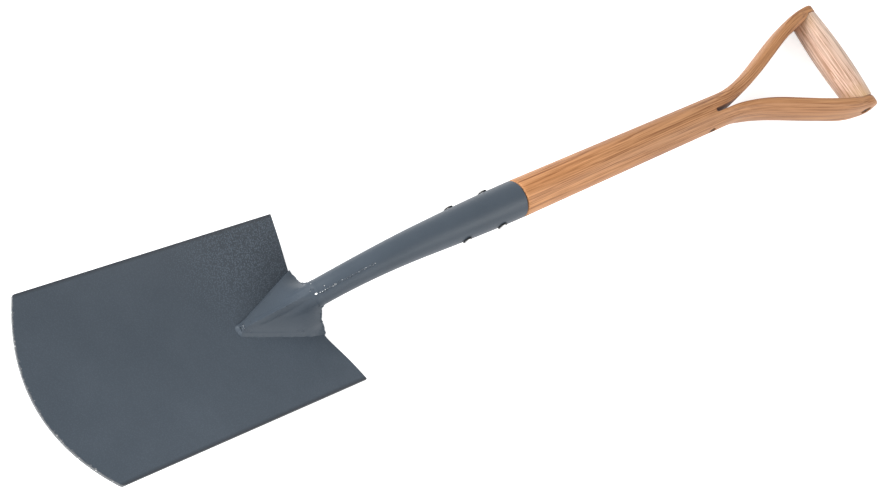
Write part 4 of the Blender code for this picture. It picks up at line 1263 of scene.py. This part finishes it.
def shaft_drills():
    fork = [
        (FORK_RIVET_RADIUS + SEAT_GAP, FORK_RADIUS - PIN_SINK),
        (FORK_WASHER_RADIUS + SEAT_GAP, FORK_RADIUS + DRILLED_PAST),
    ]
    return [
        stepped_drill("fork_drill", FORK_RIVET_AT, fork, fork),
        stepped_drill("rod_drill", GRIP_AT, rod_steps(-1), rod_steps(1)),
    ]


# %% Cut the drills from the wood
def drill_out(work, drills):
    """Cuts the drills from a shape with Booleans and returns the result as a new bmesh."""
    wood = show("wood", mesh_of("wood", work))
    for drill in drills:
        boolean = wood.modifiers.new("seat", "BOOLEAN")
        boolean.operation = "DIFFERENCE"
        boolean.object = drill
    bpy.context.view_layer.update()
    cut = bmesh.new()
    cut.from_object(wood, bpy.context.evaluated_depsgraph_get())
    for obj in [wood] + drills:
        bpy.data.objects.remove(obj, do_unlink=True)
    return cut


# %% [markdown]
# The wood's own coordinates come last, once the drills have been through: each vertex asks how far along the
# shaft it is, how deep, and how far across. In an arm the place across is measured from the arm's own middle,
# so the lines of the grain bend with it.

# %% Grain coordinates and the finished shaft
def grain_place(point):
    from_start = point - along_shaft(0)
    distance = from_start.dot(Vector((0, cos(SHAFT_RISE), sin(SHAFT_RISE))))
    depth = from_start.dot(Vector((0, -sin(SHAFT_RISE), cos(SHAFT_RISE))))
    if distance <= FORK_AT:
        return Vector((point.x, distance, depth))
    side = -1 if point.x < 0 else 1
    out = (abs(point.x) - arm_middle(distance)) * cos(arm_lean(distance))
    return Vector((side * (ARM_START_OFFSET + out), distance, depth))


def write_grain(work, rule):
    grain = work.verts.layers.float_vector.new("grain")
    for vertex in work.verts:
        vertex[grain] = rule(vertex.co)


def make_shaft():
    work = drill_out(sweep_shaft(), shaft_drills())
    write_grain(work, grain_place)
    finish_piece("ash_shaft", work, ASH, ["shaft"], smooth_angle=radians(32))


make_shaft()

# %% [markdown]
# ## The grip
# The grip is a turned barrel, fuller in the middle, with short tenons in the arms. It is sanded but hardly
# oiled, so it stays paler than the shaft. Its grain runs along its own axis.

# %% Turn the grip
GRIP_RADIUS = 18.4 * MM
GRIP_END_ROUND = 0.8 * MM


def half_grip(side):
    """The profile of half of the grip, from its tenon's end to its middle."""
    half_length = INNER_FACE + GRIP_LET_IN[side] - SEAT_GAP
    tenon_end = half_length + GRIP_TENON_LENGTH
    profile = [
        (ROD_RADIUS + SEAT_GAP, tenon_end),
        (GRIP_TENON_RADIUS, tenon_end),
        (GRIP_TENON_RADIUS, half_length),
        (GRIP_END_RADIUS - GRIP_END_ROUND, half_length),
    ]
    for place in evenly(1, 0, 40):
        radius = mix(GRIP_RADIUS, GRIP_END_RADIUS, place**2)
        profile.append((radius, (half_length - GRIP_END_ROUND) * place))
    return profile


def make_grip():
    work = turned(half_grip(1) + mirrored(half_grip(-1)[:-1]), steps=96, closed=True)
    write_grain(work, lambda point: Vector((point.x, point.z, point.y)))
    lay_across(work, GRIP_AT)
    finish_piece("turned_grip", work, PALE_ASH, ["grip"])


make_grip()

# %% [markdown]
# ## Rivets, rod and washers
# A socket rivet is a pin with a domed head on each side of the tube. The photograph shows a bright dome in a
# dark ring, so the head has a low rim, a groove and then the dome. The rod and the fork rivet have flatter
# heads that sit on washers in their seats.

# %% Pins with heads on both ends
# Painted light: the heads on the left side keep their bright colour further out towards the rim.
LEFT_HEADS_PAINTED_LIT = 0.80  # how much of the ring's place they keep, so that they stay bright further out
DOME_SHARE = 0.78  # of a head's radius
HEAD_RIM = ((0.83, 0.62), (0.90, 1.0), (0.97, 0.9), (1.0, 0.5), (1.0, 0.0))  # shares of its radius, height


def head_profile(half_length, radius, head):
    """From the top of the dome over the rim to the pin. head is its radius, height and rim height."""
    head_radius, head_height, rim_height = head
    dome_radius = head_radius * DOME_SHARE
    rise = head_height - rim_height * 0.6
    sphere = (dome_radius**2 + rise**2) / (2 * rise)
    top = half_length + head_height
    profile = [(0, top)]
    for turn in evenly(0, asin(dome_radius / sphere), 9)[1:]:
        profile.append((sphere * sin(turn), top - sphere * (1 - cos(turn))))
    for out, up in HEAD_RIM:
        profile.append((head_radius * out, half_length + rim_height * up))
    return profile + [(radius, half_length)]


def headed_pin(name, distance, half_length, radius, head, node, finish):
    upper = head_profile(half_length, radius, head)
    work = turned(upper + mirrored(upper))
    head_rim = work.verts.layers.float.new("head_rim")
    for vertex in work.verts:
        painted_lit = LEFT_HEADS_PAINTED_LIT if vertex.co.z < 0 else 1
        vertex[head_rim] = Vector(vertex.co.xy).length / head[0] * painted_lit
    lay_across(work, distance)
    finish_piece(name, work, finish, [node], smooth_angle=radians(60))


SOCKET_RIVET_RADIUS = 2.6 * MM
SOCKET_HEAD = (5.3 * MM, 3.0 * MM, 0.9 * MM)
for distance, word in ((LOWER_RIVET_AT, "lower"), (UPPER_RIVET_AT, "upper")):
    half_length = socket_radius(distance) + SEAT_GAP
    node = f"{word}_socket_rivet"
    headed_pin(f"{word}_rivet", distance, half_length, SOCKET_RIVET_RADIUS, SOCKET_HEAD, node, STEEL)

# %% Sunk pins with their washers
WASHER = 1.2 * MM
WASHER_EDGE = 0.2 * MM
ROD_HEAD = (4.2 * MM, 1.4 * MM, 0.5 * MM)
FORK_HEAD = (3.4 * MM, 1.2 * MM, 0.4 * MM)


def ring_washer(name, distance, side, seat, radius, hole, node):
    profile = [
        (hole, 0), (radius - WASHER_EDGE, 0), (radius, WASHER_EDGE), (radius, WASHER - WASHER_EDGE),
        (radius - WASHER_EDGE, WASHER), (hole, WASHER),
    ]
    work = turned(profile, closed=True)
    lay_across(work, distance, side, seat + SEAT_GAP)
    finish_piece(name, work, DULL_STEEL, [node])


def sunk_pin(name, distance, face, radius, washer_radius, head):
    seat = face - PIN_SINK
    headed_pin(f"{name}_pin", distance, seat + 2 * SEAT_GAP + WASHER, radius, head, name, DULL_STEEL)
    for side, word in SIDES:
        node = f"{name}_washer_{word}"
        ring_washer(f"{name}_ring_{word}", distance, side, seat, washer_radius, radius + SEAT_GAP, node)


sunk_pin("grip_rod", GRIP_AT, OUTER_FACE, ROD_RADIUS, ROD_WASHER_RADIUS, ROD_HEAD)
sunk_pin("fork_rivet", FORK_RIVET_AT, FORK_RADIUS, FORK_RIVET_RADIUS, FORK_WASHER_RADIUS, FORK_HEAD)

# %% [markdown]
# ## Floor, light and camera
# The photograph is a studio shot on white. A wide pale floor carries a soft shadow; rays from the camera see
# it a little brighter than its paint, so that it reads as white. The world is an even pale light, and four
# wide soft lamps on a ring round the spade add the direction: the strongest at its front left, weaker ones in
# front, at the back and on the right.

# %% The floor
FLOOR_HALF_SIZE = 30
FLOOR_PAINT = (0.80, 0.80, 0.80)
FLOOR_LIFT = 0.75
FLOOR_BELOW = 0.2 * MM


def seen_rays(tree):
    """1 for a ray from the camera, straight, off a shiny face or through a clear one, and 0 for others."""
    rays, _ = add(tree, "LightPath", 0)
    seen = (rays, "Is Camera Ray")
    for kind in ("Is Glossy Ray", "Is Transmission Ray"):
        seen = value_of(tree, "MAXIMUM", seen, (rays, kind))
    return seen


def make_floor():
    work = bmesh.new()
    bmesh.ops.create_grid(work, x_segments=1, y_segments=1, size=FLOOR_HALF_SIZE)
    floor = show("studio_floor", mesh_of("studio_floor", work))
    floor.location.z = -FLOOR_BELOW
    material, tree, shader = new_material("white_floor", FLOOR_PAINT, 0.9)
    lift = times(tree, seen_rays(tree), FLOOR_LIFT)
    dress(tree, shader, Specular_IOR_Level=0.1, Emission_Color=(1, 1, 1), Emission_Strength=lift)
    floor.data.materials.append(material)
    print("the floor is", 2 * FLOOR_HALF_SIZE, "m wide")


make_floor()

# %% The world and the lamps
WORLD_STRENGTH = 0.22
LAMP_RING = 2.56
LAMP_HEIGHT = 1.36
LAMP_SIZE = 1.8
LAMPS = (("front_left", 225, 88), ("front", 270, 40), ("back", 45, 34), ("right", 0, 22))  # degrees, watts


def make_world():
    world = bpy.data.worlds.new("studio")
    world.use_nodes = True
    tree = world.node_tree
    strength = span(tree, seen_rays(tree), 0, 1, WORLD_STRENGTH, 1)
    dress(tree, tree.nodes["Background"], Color=(1, 1, 1), Strength=strength)
    bpy.context.scene.world = world


def add_softbox(name, azimuth, watts):
    light = bpy.data.lights.new(name, "AREA")
    light.shape = "DISK"
    light.size = LAMP_SIZE
    light.energy = watts
    lamp = show(name, light)
    place = Vector((LAMP_RING * cos(azimuth), LAMP_RING * sin(azimuth), LAMP_HEIGHT))
    lamp.location = place
    lamp.rotation_mode = "QUATERNION"
    lamp.rotation_quaternion = (-place).to_track_quat("-Z", "Y")


make_world()
for name, azimuth, watts in LAMPS:
    add_softbox(f"{name}_softbox", radians(azimuth), watts)
print(len(LAMPS), "lamps of", sum(watts for _, _, watts in LAMPS), "W in all")

# %% [markdown]
# The camera stands where the photographer stood: low over the blade, on its right, looking up along the
# shaft. Its place and its two directions are given in the blade's frame, and the lying pose carries them
# along. The lens comes from the perspective of the photograph.

# %% The camera
CAMERA_PLACE = Vector((0.40315, -0.83060, 1.33915))
CAMERA_FORWARD = Vector((-0.21513, 0.68631, -0.69477))
CAMERA_UP = Vector((-0.83023, 0.24608, 0.50016))
LENS = 74.60
SENSOR_WIDTH = 36


def make_camera():
    camera = show("camera", bpy.data.cameras.new("camera"))
    camera.data.lens = LENS
    camera.data.sensor_width = SENSOR_WIDTH
    camera.data.clip_start, camera.data.clip_end = 0.05, 100
    right = CAMERA_FORWARD.cross(CAMERA_UP)
    turn = Matrix((right, CAMERA_UP, -CAMERA_FORWARD)).transposed().to_4x4()
    camera.matrix_world = LAID @ Matrix.Translation(CAMERA_PLACE) @ turn
    bpy.context.scene.camera = camera
    print("the camera stands at", [round(c, 3) for c in camera.matrix_world.translation])


make_camera()

# %% [markdown]
# Standard view keeps a colour as it is written.

# %% Standard view
bpy.context.scene.view_settings.view_transform = "Standard"
